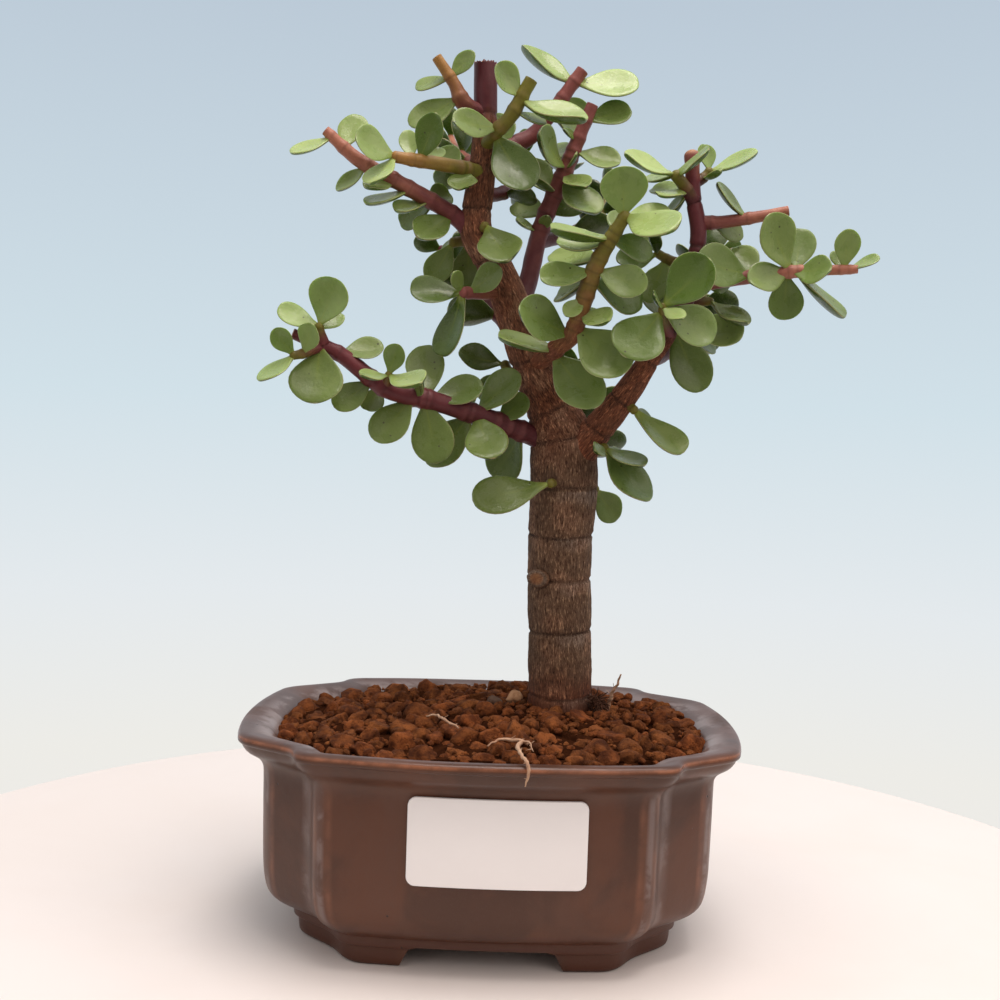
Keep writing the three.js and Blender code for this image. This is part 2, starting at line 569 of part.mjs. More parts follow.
/** The pot's stepped, bowed outline, a given offset outside its line at the feet. */
function potOutline(offset) {
  const grow = (feet, rim) => feet + ((rim - feet) * offset) / RIM_FLARE;
  const corner = (name) => FEET[name].map((feet, axis) => grow(feet, RIM[name][axis]));
  const halfWidth = grow(FEET.width, RIM.width) / 2;
  const halfDepth = grow(FEET.depth, RIM.depth) / 2;
  const [sideX, sideY] = corner("sideCorner");
  const [frontX, frontY] = corner("frontCorner");
  const side = BOW_PLACES.map((share) => [bow(halfWidth, sideX, share), sideY * share]);
  const front = BOW_PLACES.map((share) => [frontX * share, bow(halfDepth, frontY, share)]).reverse();
  const corners = [side.at(-1), [sideX, sideY], corner("step"), [frontX, frontY], front[0]];
  const reaches = [CORNER_REACH, STEP_REACH, CORNER_REACH];
  const turns = reaches.flatMap((reach, i) => roundedCorner(...corners.slice(i, i + 3), reach));
  const quarter = [...side, ...turns, ...front];
  const mirrored = quarter.map(([x, y]) => [-x, y]).reverse();
  const back = [...quarter, ...mirrored];
  return [...back, ...back.map(([x, y]) => [-x, -y])];
}

/** How far out a bowed side is, at a share of the way from its middle to its corner. */
function bow(middle, corner, share) {
  return corner + (middle - corner) * (1 - share ** 2);
}

/** Three points that round a corner between the two points beside it. */
function roundedCorner(before, corner, after, reach) {
  const towards = ([x, y]) => {
    const length = Math.hypot(x - corner[0], y - corner[1]);
    const share = Math.min(reach, 0.46 * length) / length;
    return [corner[0] + (x - corner[0]) * share, corner[1] + (y - corner[1]) * share];
  };
  const start = towards(before);
  const end = towards(after);
  const middle = corner.map((value, axis) => (start[axis] + 2 * value + end[axis]) / 4);
  return [start, middle, end];
}

/** A closed solid from the stepped outline: rows of offset, height and fill (1 at the outline). */
function potSolid(rows, heightAt = (x, y, z) => z) {
  const sides = potOutline(0).length;
  const profile = [new THREE.Vector2(0, 0), ...rows.map((row, i) => new THREE.Vector2(1, i)),
    new THREE.Vector2(0, rows.length)];
  const shape = new THREE.LatheGeometry(profile, sides);
  const place = shape.attributes.position;
  const levels = profile.length;
  for (let i = 0; i < place.count; i += 1) {
    const side = Math.floor(i / levels) % sides;
    const level = i % levels;
    const row = rows[Math.max(0, Math.min(rows.length - 1, level - 1))];
    const fill = level === 0 || level === levels - 1 ? 0 : (row.fill ?? 1);
    const [x, y] = potOutline(row.offset)[side];
    place.setXYZ(i, x * fill, y * fill, heightAt(x * fill, y * fill, row.z, fill));
  }
  return solid(shape);
}

function box(width, depth, height, x, y, z) {
  return solid(new THREE.BoxGeometry(width, depth, height).translate(x, y, z));
}

function upright(diameter, height, x, y, z, sides = 16) {
  const shape = new THREE.CylinderGeometry(diameter / 2, diameter / 2, height, sides);
  return solid(shape.rotateX(Math.PI / 2).translate(x, y, z));
}

/** The open space between two feet, right through the pot from front to back. */
function footGap(width) {
  const below = [width / 2 + 0.1, -0.5];
  const above = [width / 2 - FOOT_SLOPE, FOOT_HEIGHT];
  const corners = [below, above, [-above[0], above[1]], [-below[0], below[1]]];
  const outline = new THREE.Shape(corners.map(([x, z]) => new THREE.Vector2(x, z)));
  const shape = new THREE.ExtrudeGeometry(outline, { depth: RIM.width, bevelEnabled: false });
  return shape.translate(0, 0, -RIM.width / 2).rotateX(Math.PI / 2);
}

function makePot() {
  const body = potSolid([
    { offset: 0, z: FOOT_HEIGHT }, { offset: 0.6, z: 9.4 }, { offset: 1.8, z: 9.8 },
    { offset: 6, z: 12.4 }, { offset: 8.6, z: 17 }, WALL_LOW, WALL_HIGH,
    { offset: 11.2, z: 56.6 }, { offset: 14.2, z: 59 }, { offset: RIM_FLARE - 0.6, z: 59.9 },
    { offset: RIM_FLARE, z: 61.4 }, { offset: RIM_FLARE - 0.8, z: 63.2 },
    { offset: RIM_FLARE - 2.6, z: POT_HEIGHT }, { offset: 8, z: POT_HEIGHT - 0.8 },
  ]);
  const hollow = potSolid([
    { offset: 1, z: FLOOR_TOP }, { offset: 3, z: 15 }, { offset: 4.2, z: 24 }, { offset: 4.6, z: 56 },
    { offset: 6.6, z: 61 }, { offset: 8, z: POT_HEIGHT - 0.6 }, { offset: 8.4, z: POT_HEIGHT + 2 },
  ]);
  const footRing = potSolid([{ offset: -0.4, z: 0 }, { offset: 0, z: FOOT_HEIGHT + 1 }])
    .subtract(potSolid([{ offset: -FOOT_THICKNESS, z: -1 }, { offset: -FOOT_THICKNESS, z: FOOT_HEIGHT }]))
    .subtract(solid(footGap(FOOT_GAP_FRONT)))
    .subtract(solid(footGap(FOOT_GAP_SIDE).rotateZ(Math.PI / 2)));
  const drains = [-1, 1].map((way) => upright(DRAIN_DIAMETER, 30, way * DRAIN_OFFSET, 0, 8));
  return body.add(footRing).subtract(hollow).subtract(union(drains));
}

/** Height of the soil surface: a low mound with grain-sized lumps. */
function soilHeight(x, y) {
  const mound = SOIL_MOUND * Math.exp(-((x - 12) ** 2 + (y - 14) ** 2) / 2400);
  const scatter = Math.sin(x * 12.99 + y * 78.23) * 437.58;
  return SOIL_EDGE + mound + SOIL_LUMP * (2 * (scatter - Math.floor(scatter)) - 1);
}

function makeSoil(trunkHole, screens, roots) {
  const rings = [];
  for (let ring = 0; ring < SOIL_RINGS; ring += 1) {
    rings.push({ offset: 4, z: 0, fill: 1 - ring / SOIL_RINGS });
  }
  const rows = [
    { offset: 0.6, z: FLOOR_TOP + GAP }, { offset: 2.5, z: 15.4 }, { offset: 3.8, z: 24.4 },
    { offset: 4.2, z: SOIL_EDGE - 5 }, ...rings,
  ];
  const top = (x, y, z, fill) => (z === 0 || fill === 0 && z !== FLOOR_TOP + GAP ? soilHeight(x, y) : z);
  return [trunkHole, ...screens, ...roots].reduce((left, cut) => left.subtract(cut), potSolid(rows, top));
}

function makeTrunk(swell = 0) {
  const column = stem(TRUNK.path, TRUNK.radii, 12, 26, swell);
  const limb = stem(RIGHT_LIMB.path, RIGHT_LIMB.radii, 8, 14, swell);
  const knob = new THREE.SphereGeometry(PRUNED_KNOB.radius + swell, 8, 6).translate(...PRUNED_KNOB.at);
  return union([column, limb, solid(knob)]);
}

/** The tag is cut from a thin skin over the wall, so that it bends with it. */
function makeTag() {
  const { width, height, thickness, corner } = TAG;
  const outline = new THREE.Shape();
  const right = width / 2 - corner;
  const top = height / 2 - corner;
  outline.absarc(right, top, corner, 0, Math.PI / 2);
  outline.absarc(-right, top, corner, Math.PI / 2, Math.PI);
  outline.absarc(-right, -top, corner, Math.PI, 1.5 * Math.PI);
  outline.absarc(right, -top, corner, 1.5 * Math.PI, 2 * Math.PI);
  const cut = { depth: RIM.depth, bevelEnabled: false, curveSegments: 4 };
  const shape = new THREE.ExtrudeGeometry(outline, cut);
  shape.rotateX(Math.PI / 2).translate(TAG.x, 0, TAG.z);
  const skin = (out) => potSolid([WALL_LOW, WALL_HIGH].map(({ offset, z }) => ({ offset: offset + out, z })));
  return solid(shape).intersect(skin(GAP + thickness).subtract(skin(GAP)));
}

const ROOTS = {
  dry_root_front: {
    arms: [
      { path: [[-3, -33, 58], [0, -41, 63.5], [-2, -50, 65.6], [-1, -57, 66.2]],
        radii: [0.9, 0.9, 0.8, 0.6] },
      { path: [[-1, -46, 65], [4, -55, 65.9], [8, -61, 65], [11, -62.8, 60]], radii: [0.8, 0.8, 0.7, 0.6] },
    ],
  },
  dry_root_upright: {
    arms: [{ path: [[37, 10, 60], [38.5, 8, 69], [41.5, 4.5, 78]], radii: [0.9, 0.8, 0.6] }],
  },
};

function makeRoot({ arms }, swell = 0) {
  return union(arms.map(({ path, radii }) => stem(path, radii, 6, 5, swell)));
}

const plant = new THREE.Group();
const tree = new THREE.Group();
plant.add(tree);

const trunk = makeTrunk();
const trunkSpace = makeTrunk(GAP);
const screenSize = 20;
const screens = [-1, 1].map((way) => (
  box(screenSize, screenSize, 1, way * DRAIN_OFFSET, 0, FLOOR_TOP + GAP + 0.5)
));
const screenSpaces = [-1, 1].map((way) => (
  box(screenSize + 1, screenSize + 1, 2, way * DRAIN_OFFSET, 0, FLOOR_TOP + GAP + 0.7)));
tree.add(named("pot", makePot(), "glaze"));
const rootSpaces = Object.values(ROOTS).map((root) => makeRoot(root, GAP));
tree.add(named("soil", makeSoil(trunkSpace, screenSpaces, rootSpaces), "grit"));
tree.add(named("drain_screen_left", screens[0], "mesh"));
tree.add(named("drain_screen_right", screens[1], "mesh"));
tree.add(named("trunk", trunk, "bark"));
tree.add(named("blank_tag", makeTag(), "tag"));
for (const [name, root] of Object.entries(ROOTS)) tree.add(named(name, makeRoot(root), "root"));

const sprayParts = {};
for (const { spray, shoot, line, leaves } of growSprays()) {
  const steps = Math.max(2, 2 * (shoot.path.length - 1));
  sprayParts[spray] ??= [];
  sprayParts[spray].push(stem(shoot.path, shoot.radii, 5, steps), ...leaves.map(leafSolid));
}
for (const [name, parts] of Object.entries(sprayParts)) {
  tree.add(named(name, union(parts).subtract(trunkSpace), "leaf"));
}

const bounds = new THREE.Box3().setFromObject(tree);
const middle = bounds.getCenter(new THREE.Vector3());
tree.position.set(-middle.x, -middle.y, -bounds.min.z);

export default plant;
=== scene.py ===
"""The looks of a dwarf jade bonsai in a brown glazed pot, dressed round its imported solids.

The tables are in millimetres in the pot's own frame: the pot's centre at x = y = 0, its feet on z = 0 and
its front towards -Y. Every finished piece is in metres in the row frame, where the CAD nodes stand.
"""

import logging
from dataclasses import dataclass, fields
from enum import Enum
from math import copysign, cos, exp, hypot, pi, radians, sin, sqrt
from random import Random
from typing import Callable, Optional, Sequence, Union

import bmesh
import bpy
import numpy as np
from bmesh.types import BMEdge, BMLayerItem, BMesh, BMVert
from bpy.types import ID, Material, Mesh, Node, NodeOutputs, NodeSocket as Socket, NodeTree, Object
from mathutils import Matrix, Vector, noise


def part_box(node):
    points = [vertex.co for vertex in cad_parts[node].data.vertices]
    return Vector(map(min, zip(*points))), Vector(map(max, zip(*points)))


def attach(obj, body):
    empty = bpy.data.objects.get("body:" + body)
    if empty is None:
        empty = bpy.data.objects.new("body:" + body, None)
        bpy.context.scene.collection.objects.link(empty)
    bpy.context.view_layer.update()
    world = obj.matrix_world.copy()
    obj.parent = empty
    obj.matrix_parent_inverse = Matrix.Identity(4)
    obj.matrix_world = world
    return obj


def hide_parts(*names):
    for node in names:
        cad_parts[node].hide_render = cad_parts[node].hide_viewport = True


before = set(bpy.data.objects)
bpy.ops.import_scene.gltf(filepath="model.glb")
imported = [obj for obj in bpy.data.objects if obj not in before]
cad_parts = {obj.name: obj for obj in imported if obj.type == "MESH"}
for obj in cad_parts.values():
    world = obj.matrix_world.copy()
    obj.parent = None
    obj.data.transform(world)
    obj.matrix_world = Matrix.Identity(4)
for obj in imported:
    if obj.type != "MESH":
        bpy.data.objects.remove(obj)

LOG = logging.getLogger("bonsai")
Colour = tuple[float, float, float]
Point = tuple[float, float, float]
Spot = tuple[float, float]

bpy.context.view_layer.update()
BODY = "root"
SHADER = "Principled BSDF"
WELD = 0.0004
CUT_STEP = 0.0001
SHARP = 50
MM = 0.001
POT_LOW, POT_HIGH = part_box("pot")
POT_CENTRE = Vector(((POT_LOW.x + POT_HIGH.x) / 2, (POT_LOW.y + POT_HIGH.y) / 2, 0.0))
RIM_WIDTH = (POT_HIGH.x - POT_LOW.x) / MM
RIM_DEPTH = (POT_HIGH.y - POT_LOW.y) / MM


class Skin(Enum):
    """The colours that bark and shoots' skins have along the tree."""

    FOOT = (0.17, 0.046, 0.018)
    BARK = (0.2, 0.112, 0.064)
    RED_BARK = (0.27, 0.092, 0.044)
    PLUM = (0.09, 0.018, 0.022)
    WINE = (0.135, 0.026, 0.03)
    ROSE = (0.23, 0.068, 0.058)
    SALMON = (0.4, 0.15, 0.095)
    ORANGE = (0.34, 0.17, 0.045)
    OLIVE = (0.15, 0.132, 0.018)
    CUT = (0.44, 0.22, 0.1)
    PITH = (0.12, 0.05, 0.028)


@dataclass(frozen=True)
class Shoot:
    """One shoot, in mm: its centre line, its radius at each point, and its leaves.

    A leaf is its place along the shoot, how far its tip reaches right, back and up, the tilt of its face
    from front (0) to sky (90), and its breadth where that differs from the usual one. A shoot without a
    list grows opposite pairs instead. The extra leaves grow after all the others. The skin goes from the
    foot's colour to the tip's. Shoots with the same spray make one node.
    """

    spray: str
    path: tuple[Point, ...]
    radii: tuple[float, ...]
    leaves: tuple[tuple[float, ...], ...] = ()
    extra: tuple[tuple[float, ...], ...] = ()
    pairs: int = 0
    longest: float = 0.0
    foot: Skin = Skin.PLUM
    tip: Skin = Skin.OLIVE
    sawn: bool = False
    youth: float = 0.5


TRUNK_PATH: tuple[Point, ...] = ((23, 13, 47), (22.5, 13, 65), (21.5, 12, 90), (20.5, 10.5, 116),
    (21, 9, 137.5), (20, 8, 152), (15.5, 7, 164), (9, 5, 177.5), (0, 2, 200), (-6, 2, 211), (-10, 2, 219),
    (-8.5, 2, 236), (-8, 2, 251), (-8.5, 2, 270))
TRUNK_RADII = (10.1, 10.4, 10.2, 10.2, 10.9, 10.5, 7.8, 6.6, 5.5, 5.4, 5, 4.2, 3.7, 3.7)
TRUNK_RINGS = (69.8, 90.5, 108, 122.4, 137.3, 153.5, 162.5, 178, 209, 224.2, 237.2, 254)
LIMB_PATH: tuple[Point, ...] = ((23, 6, 147), (33, 0, 159.5), (40, -5, 169.5), (46, -9, 179.5),
    (51, -12, 187), (56.5, -10, 200), (58.5, -10, 216), (56.5, -10, 228), (55.5, -11, 240))
LIMB_RADII = (6.4, 4.7, 4, 3.1, 2.4, 2.7, 2.5, 2.4, 2)
LIMB_RINGS = (157, 166, 178, 187, 200, 213, 226)
KNOB_AT: Point = (14, 2.2, 108)

SHOOTS: tuple[Shoot, ...] = (
    Shoot("low_left_branch", ((13, 6, 153), (-7, -4, 159.5), (-21.5, -9, 163.5), (-35, -14, 166.5),
    (-49.5, -18, 176.5), (-62.5, -22, 181.5)), (3.4, 3.1, 3, 2.9, 2.3, 1.6), ((0.83, 13, 4, 3, 35),
    (0.68, -11, -3, -9, 30), (0.52, -11, -5, -14, 25), (0.64, -1, 3, -11, 25), (0.52, 3, -9, 5, 20, 0.62),
    (0.48, 5, -5, -19, 20), (0.29, -14, 3, -16, 35), (0.47, -2, 8, 17, 30), (0.46, 14, 8, 6, 40),
    (0.14, -7, -7, -5, 35, 0.75), (0.28, 7, -2, -19, 15), (0.27, 13, 4, -16, 30), (0.28, 14, 9, 9, 45),
    (0.32, 0, 7, 6, 30), (0.9, 0, -8, -18, 25, 0.9)), extra=((0.08, -9, 9, -15, 35, 0.85),
    (0.19, 8, -3, 9, 30, 0.8)), tip=Skin.WINE, sawn=True, youth=0.25),
    Shoot("low_left_branch", ((-53.5, -20, 179), (-54.5, -22, 183), (-54.5, -23, 185)), (1.7, 1.3, 1.1),
    ((1, 5, -3, 14, 25, 0.95), (0.96, -12, -2, 5, 40), (0.83, -10, 3, 2, 45), (0.7, 6, 5, 5, 30)),
    foot=Skin.WINE, youth=1),
    Shoot("low_left_branch", ((-55, -20, 178), (-59, -24, 175.5), (-62.5, -26, 174.5)), (1.7, 1.4, 1.1),
    ((0.6, 4, -7, 8, 20), (1, -4, -2, 9, 30, 0.7), (0.98, -8, -3, -10, 65), (0.77, -6, 2, -8, 55)),
    foot=Skin.WINE, youth=0.9),
    Shoot("low_left_branch", ((-35, -15, 167), (-34, -18, 170), (-34, -19, 171.5)), (1.6, 1.2, 1),
    ((1, -9, -5, 1, 55), (1, 3, -4, 9, 20, 0.75), (0.9, 15, -6, 2, 58)), extra=((0.9, -9, -2, 2, 50, 0.5),),
    foot=Skin.WINE),
    Shoot("high_left_branch", ((-12, 2, 218.5), (-19.5, -1, 223.5), (-34.5, -7, 230.5), (-46, -10, 236),
    (-56, -12, 244)), (3, 2.6, 2.4, 2.2, 1.5), ((0.95, -12, -3, -6, 55), (0.86, 3, 8, 12, 30),
    (0.7, -9, 0, -8, 55), (0.42, -13, -6, -6, 60), (0.52, -10, -1, -9, 30), (0.28, -10, -8, 1, 60),
    (0.13, -10, -10, -9, 25), (0.24, -9, -4, -11, 25), (0.26, -12, 4, -8, 30)),
    extra=((0.3, 9, 7, -1, 30, 0.8),), foot=Skin.WINE, tip=Skin.SALMON, sawn=True, youth=0.6),
    Shoot("olive_twig", ((-9.5, 0, 235.5), (-18.5, -6, 236), (-31.5, -11, 236.5), (-36, -12, 237)),
    (2.4, 2.2, 1.9, 1.4), ((1, -11, -8, 4, 25, 1), (0.98, -10, -6, -9, 60), (0.69, 5, -5, 13, 25),
    (0.78, -2, 5, 10, 30, 0.6), (0.66, 5, 6, 8, 20), (0.22, -5, 6, 11, 25), (0.14, -2, -9, -8, 30, 0.85)),
    foot=Skin.OLIVE, tip=Skin.ORANGE, youth=0.7),
    Shoot("left_hanging_twig", ((-7, 4, 215), (-14.5, 6, 215), (-18.5, 5, 214)), (2, 1.7, 1.4),
    ((0.96, -7, 0, -13, 25), (0.72, -3, -8, -16, 20), (0.46, 0, 5, -17, 20), (1, -9, 5, -4, 40)),
    youth=0.15),
    Shoot("left_low_twig", ((0, 1, 198.5), (-8.5, -4, 197.5), (-14, -8, 197)), (2.2, 2, 1.6),
    ((0.8, 10, -6, 7, 20), (0.98, -16, -4, 0, 25), (1, -4, -4, 6, 25, 0.7), (1, -6, -2, -20, 70, 0.6)),
    foot=Skin.RED_BARK, tip=Skin.ROSE, youth=0.25),
    Shoot("apex_left_shoot", ((-8, 1.5, 254), (-14.5, -2, 256), (-18, -3, 262), (-23.5, -4, 269.5)),
    (2.2, 2.8, 1.9, 1.6), ((0.7, 7, 0, 8, 35), (0.7, -11, 4, -2, 40), (0.42, -16, -4, -7, 30)),
    foot=Skin.WINE, tip=Skin.ORANGE, sawn=True, youth=0.45),
    Shoot("apex_front_shoot", ((-8, 1, 243.5), (-4, -6, 247), (0, -8, 251), (6, -9, 262)),
    (2.2, 2.2, 2.2, 2), ((0.36, -14, -8, 0, 20), (0.26, 11, -7, -18, 20), (0.26, 10, 3, -19, 25),
    (0.78, -8, -5, 8, 30, 0.95), (0.75, 20, -6, -7, 62), (0.62, 10, 2, -3, 50)), foot=Skin.OLIVE,
    sawn=True),
    Shoot("apex_right_shoot", ((-8, 4, 240.5), (2, 11, 247.5), (9, 13, 253), (22.5, 13, 272)),
    (2.4, 2.9, 2.4, 2.1), ((0.9, -17, 0, 11, 60), (0.9, 21, 0, 0, 40), (0.77, 11, -2, 0, 35),
    (0.16, 0, 4, 13, 25), (0.64, 11, 8, -5, 35)), foot=Skin.WINE, tip=Skin.ROSE, sawn=True, youth=0.9),
    Shoot("apex_back_shoot", ((3, 5, 190), (7, 13, 203), (11, 15, 222), (18, 13, 240), (26, 10, 260.5)),
    (3.2, 3.1, 2.9, 2.6, 1.9), ((0.93, 14, 0, 7, 35), (0.72, -13, -13, 6, 25), (0.77, -6, 4, 12, 30),
    (0.85, -5, -4, 2, 30), (0.8, 15, -2, -4, 45), (0.72, 1, -8, 4, 30, 0.6), (0.68, 11, -9, -13, 50),
    (0.6, -9, 3, 12, 30), (0.44, -8, -4, 3, 50), (0.44, 1, -5, 6, 30, 0.6), (0.52, -14, 5, 3, 30),
    (0.41, 6, -5, -7, 30)), extra=((0.7, 12, -7, -3, 50, 0.7), (0.52, 13, 7, 4, 30, 0.72),
    (0.74, 0, 14, 6, 35, 0.85), (0.62, -12, -8, -6, 40, 0.6)), tip=Skin.ROSE, sawn=True, youth=0.45),
    Shoot("apex_back_shoot", ((10, 15, 217), (20, 28, 222), (30, 38, 230), (36, 45, 240)),
    (2.4, 2.2, 1.9, 1.4), pairs=4, longest=14),
    Shoot("front_centre_shoot", ((11, 1, 177), (17.5, -9, 181.5), (21.5, -15, 186), (27, -21, 204.5),
    (35.5, -25, 220)), (3, 2.7, 2.7, 2.5, 1.7), ((0.32, -16, -9, 7, 25, 0.85), (0.18, -18, -5, 3, 55),
    (0.53, -6, -5, -6, 25, 0.62), (0.42, 9, 8, 2, 30), (0.67, -16, -3, -3, 35), (0.65, -17, 6, -3, 60),
    (0.68, 15, -4, -6, 25), (0.38, 15, -7, -14, 25, 0.85), (0.85, -18, -7, 1, 62), (0.82, -15, 4, 1, 45),
    (0.96, -1, -5, 14, 25, 1.05), (0.98, 14, 7, 3, 50), (0.97, 15, -12, -9, 25), (0.84, 13, 6, -6, 30),
    (0.88, 4, 8, 5, 30), (0.14, 14, -8, -17, 25)), extra=((0.62, 19, 10, -6, 30, 0.8),
    (0.45, 9, -7, -5, 35, 0.85), (0.74, -14, 16, 3, 35, 0.58)), foot=Skin.RED_BARK, youth=0.75),
    Shoot("limb_front_twig", ((50.5, -12, 185.5), (48, -17, 189.5), (47, -21, 194)), (2, 1.6, 1.2),
    ((0.76, -12, -8, -14, 20, 0.9), (1, -5, -6, 2, 30), (1, 3, -8, -3, 30), (1, 13, -4, 14, 25, 0.85),
    (0.94, 17, -5, -5, 25, 0.8), (0.74, 18, 2, -6, 60), (0.3, -20, -3, -18, 65)), foot=Skin.WINE,
    youth=0.7),
    Shoot("limb_back_twig", ((50.5, -11.5, 187), (53.5, -4, 190.5), (59, 3, 193.5)), (1.9, 1.6, 1.2),
    ((0.3, 4, 0, -22, 30, 0.65), (0.58, 13, 6, -11, 50), (0.93, 15, 2, -12, 25), (0.62, -11, 3, 9, 30),
    (1, -10, 6, 19, 30)), youth=0.3),
    Shoot("limb_inner_twig", ((58, -10, 207), (51, -6, 209), (46, -4, 212)), (1.9, 1.6, 1.2),
    ((1, -13, -3, -3, 25), (0.9, -7, 4, 8, 30), (0.7, -9, -1, -12, 25), (1, -3, -8, 6, 45)), youth=0.35),
    Shoot("right_hanging_twig", ((56, -9, 197), (62, -5, 197), (65, -3.5, 197.5)), (1.7, 1.4, 1),
    ((0.9, 10, -2, -19, 65, 0.6), (1, 5, 6, -14, 30)), youth=0.05),
    Shoot("far_right_branch", ((57, -10, 201), (64.5, -10, 202.5), (86, -14, 205.5), (105.5, -17, 206.5)),
    (2.5, 2.3, 1.9, 1.3), ((0.38, -16, -9, 5, 20, 0.85), (0.4, -5, 6, 12, 30), (0.6, -10, -3, 16, 25, 0.75),
    (0.63, 3, 6, 14, 30), (0.66, -2, 5, 13, 30), (0.6, -13, -9, 5, 22, 0.8), (0.61, 11, -7, -2, 25, 0.85),
    (0.58, 1, -3, -14, 20, 0.85), (0.65, 15, 1, -13, 65), (0.91, -2, 3, 6, 30), (0.92, 0, -1, 12, 60),
    (0.94, 9, -1, 4, 55), (0.99, 4, 3, 1, 30)), foot=Skin.ROSE, tip=Skin.SALMON, sawn=True, youth=0.65),
    Shoot("right_bare_shoot", ((57.5, -9.5, 220.5), (65, -10, 220.5), (78, -12, 222.5), (85, -13, 224)),
    (2.1, 2, 1.7, 1.5), ((0.56, -10, -2, 10, 60), (0.16, 9, -4, 5, 30, 0.75), (0.14, -7, -6, -1, 25),
    (0.17, 11, 6, -2, 25)), foot=Skin.ROSE, tip=Skin.SALMON, sawn=True),
    Shoot("right_top_twig", ((57, -10, 226.5), (53.5, -12, 230.5), (49.5, -14, 234.5)), (2.2, 1.9, 1.6),
    ((1, -16, -4, 5, 50), (1, -9, 5, 8, 45), (1, 9, -6, 8, 58), (0.36, -11, -7, 1, 60),
    (0.42, -12, 5, 2, 50), (0.36, -14, 4, -3, 55)), youth=0.7),
    Shoot("right_tip_twig", ((56, -10, 231.5), (59.5, -9, 234), (62, -9, 237)), (1.8, 1.5, 1.2),
    ((1, -3, 0, 9, 50), (1, 14, -3, 6, 60), (0.5, 9, -8, 0, 55)), youth=0.9),
    Shoot("fork_twig", ((25, 4, 150), (32, -1, 150.5), (34, -3, 151)), (1.8, 1.5, 1.2),
    ((0.9, 14, -4, -16, 60), (1, 12, 7, -5, 30), (0.9, 6, 8, -9, 30), (0.9, -5, -7, 1, 30)),
    extra=((0.95, 12, -7, -5, 65, 0.85),), foot=Skin.BARK, youth=0.3),
    Shoot("limb_low_twig", ((38, -3, 166), (41, -6, 163), (42, -7.5, 162)), (1.6, 1.4, 1.1),
    ((1, 15, -6, -12.5, 62), (0.8, 10, 8, -4, 30)), foot=Skin.BARK, youth=0.1),
    Shoot("ring_leaf_left", ((19, 5, 139), (16.5, -3, 139), (15.5, -5, 139)), (1.6, 1.4, 1.1),
    ((0.98, -24, -5, -6, 35, 0.6),), foot=Skin.BARK, youth=0.05),
    Shoot("ring_leaf_right", ((22, 10, 137), (31, 15, 137), (33, 16, 137)), (1.6, 1.4, 1.1),
    ((0.98, 8, 6, -10, 25, 0.8),), foot=Skin.BARK, youth=0.2),
    Shoot("leader_leaf_front", ((-8, 2, 217), (-7, -4, 218), (-6.5, -6, 218)), (1.6, 1.4, 1.1),
    ((0.98, 9, -6, -17, 20, 0.75),), foot=Skin.RED_BARK, youth=0.05),
    Shoot("trunk_left_twig", ((14, 8, 164), (3, 11, 173), (0, 12, 178)), (2.2, 1.8, 1.4),
    ((1, -15, -3, 3, 30), (0.78, -10, 3, -8, 30), (0.68, -10, 7, 0, 40)), foot=Skin.RED_BARK, youth=0.1),
    Shoot("back_low_branch", ((21, 12, 140), (24, 25, 146), (28, 38, 155), (30, 50, 168), (28, 57, 181)),
    (3.3, 3, 2.7, 2.2, 1.5), pairs=5, longest=16, tip=Skin.ROSE),
    Shoot("back_left_branch", ((7, 7, 180), (0, 18, 191), (-8, 28, 201), (-17, 37, 210), (-24, 42, 219)),
    (3, 2.7, 2.4, 2, 1.4), pairs=5, longest=15, tip=Skin.WINE),
    Shoot("back_right_branch", ((45, -7, 178), (51, 5, 181), (59, 18, 188), (65, 28, 200), (69, 36, 213)),
    (2.6, 2.4, 2.2, 1.8, 1.3), pairs=5, longest=15),
    Shoot("back_high_twig", ((-9, 3, 235.5), (-13, 14, 242), (-18, 25, 247.5), (-21, 34, 255)),
    (2.3, 2, 1.8, 1.3), pairs=4, longest=14, foot=Skin.WINE, tip=Skin.SALMON, youth=0.6),
    Shoot("back_top_twig", ((-8, 3, 229), (-2, 17, 233), (3, 30, 240), (5, 41, 251)), (2.4, 2.2, 1.9, 1.3),
    pairs=4, longest=14, tip=Skin.ROSE, youth=0.6),
    Shoot("back_limb_twig", ((58.5, -9, 210), (63, 4, 211), (68, 16, 214), (70, 27, 220)),
    (2.2, 2, 1.7, 1.3), pairs=4, longest=12, foot=Skin.WINE, youth=0.6))
PAIR_TURN = pi / 2
PAIR_OPENING = radians(62)
DRAW_SEED = 20617

LEAF_BROAD = 0.72
LEAF_WIDEST = 0.62
LEAF_THICK = 0.13
LEAF_THINNEST = 1.5
LEAF_SAG = 0.06
LEAF_CUP = 0.16
LEAF_ROOT = 1.4
CLEARANCE = 0.5
LEAF_SIZES = (1.0, 0.86, 0.72)
BENDS = ((0, 0), (14, 0), (-14, 0), (0, 16), (0, -16), (26, 0), (-26, 0), (14, 16), (14, -16), (-14, 16),
    (-14, -16), (0, 30), (0, -30), (38, 0), (-38, 0), (26, 26), (26, -26))
PROBE_PLACES = np.array([p for p in (0.3, 0.5, 0.7, 0.88) for _ in range(5)] + [1.0])
PROBE_SIDES = np.array([-0.95, -0.5, 0, 0.5, 0.95] * 4 + [0.0])
MIDDLE_PROBE = 7


class Draw:
    """Seeded draws between 0 and 1, the same on every run."""

    def __init__(self, seed: int) -> None:
        self.state = seed

    def next(self) -> float:
        """The next draw."""
        self.state = (self.state * 1664525 + 1013904223) & 0xFFFFFFFF
        return self.state / 4294967296

    def spread(self, amount: float) -> float:
        """A draw between minus and plus the amount."""
        return (self.next() * 2 - 1) * amount


def unit(vector: np.ndarray) -> np.ndarray:
    """The vector at length 1."""
    return vector / np.linalg.norm(vector)


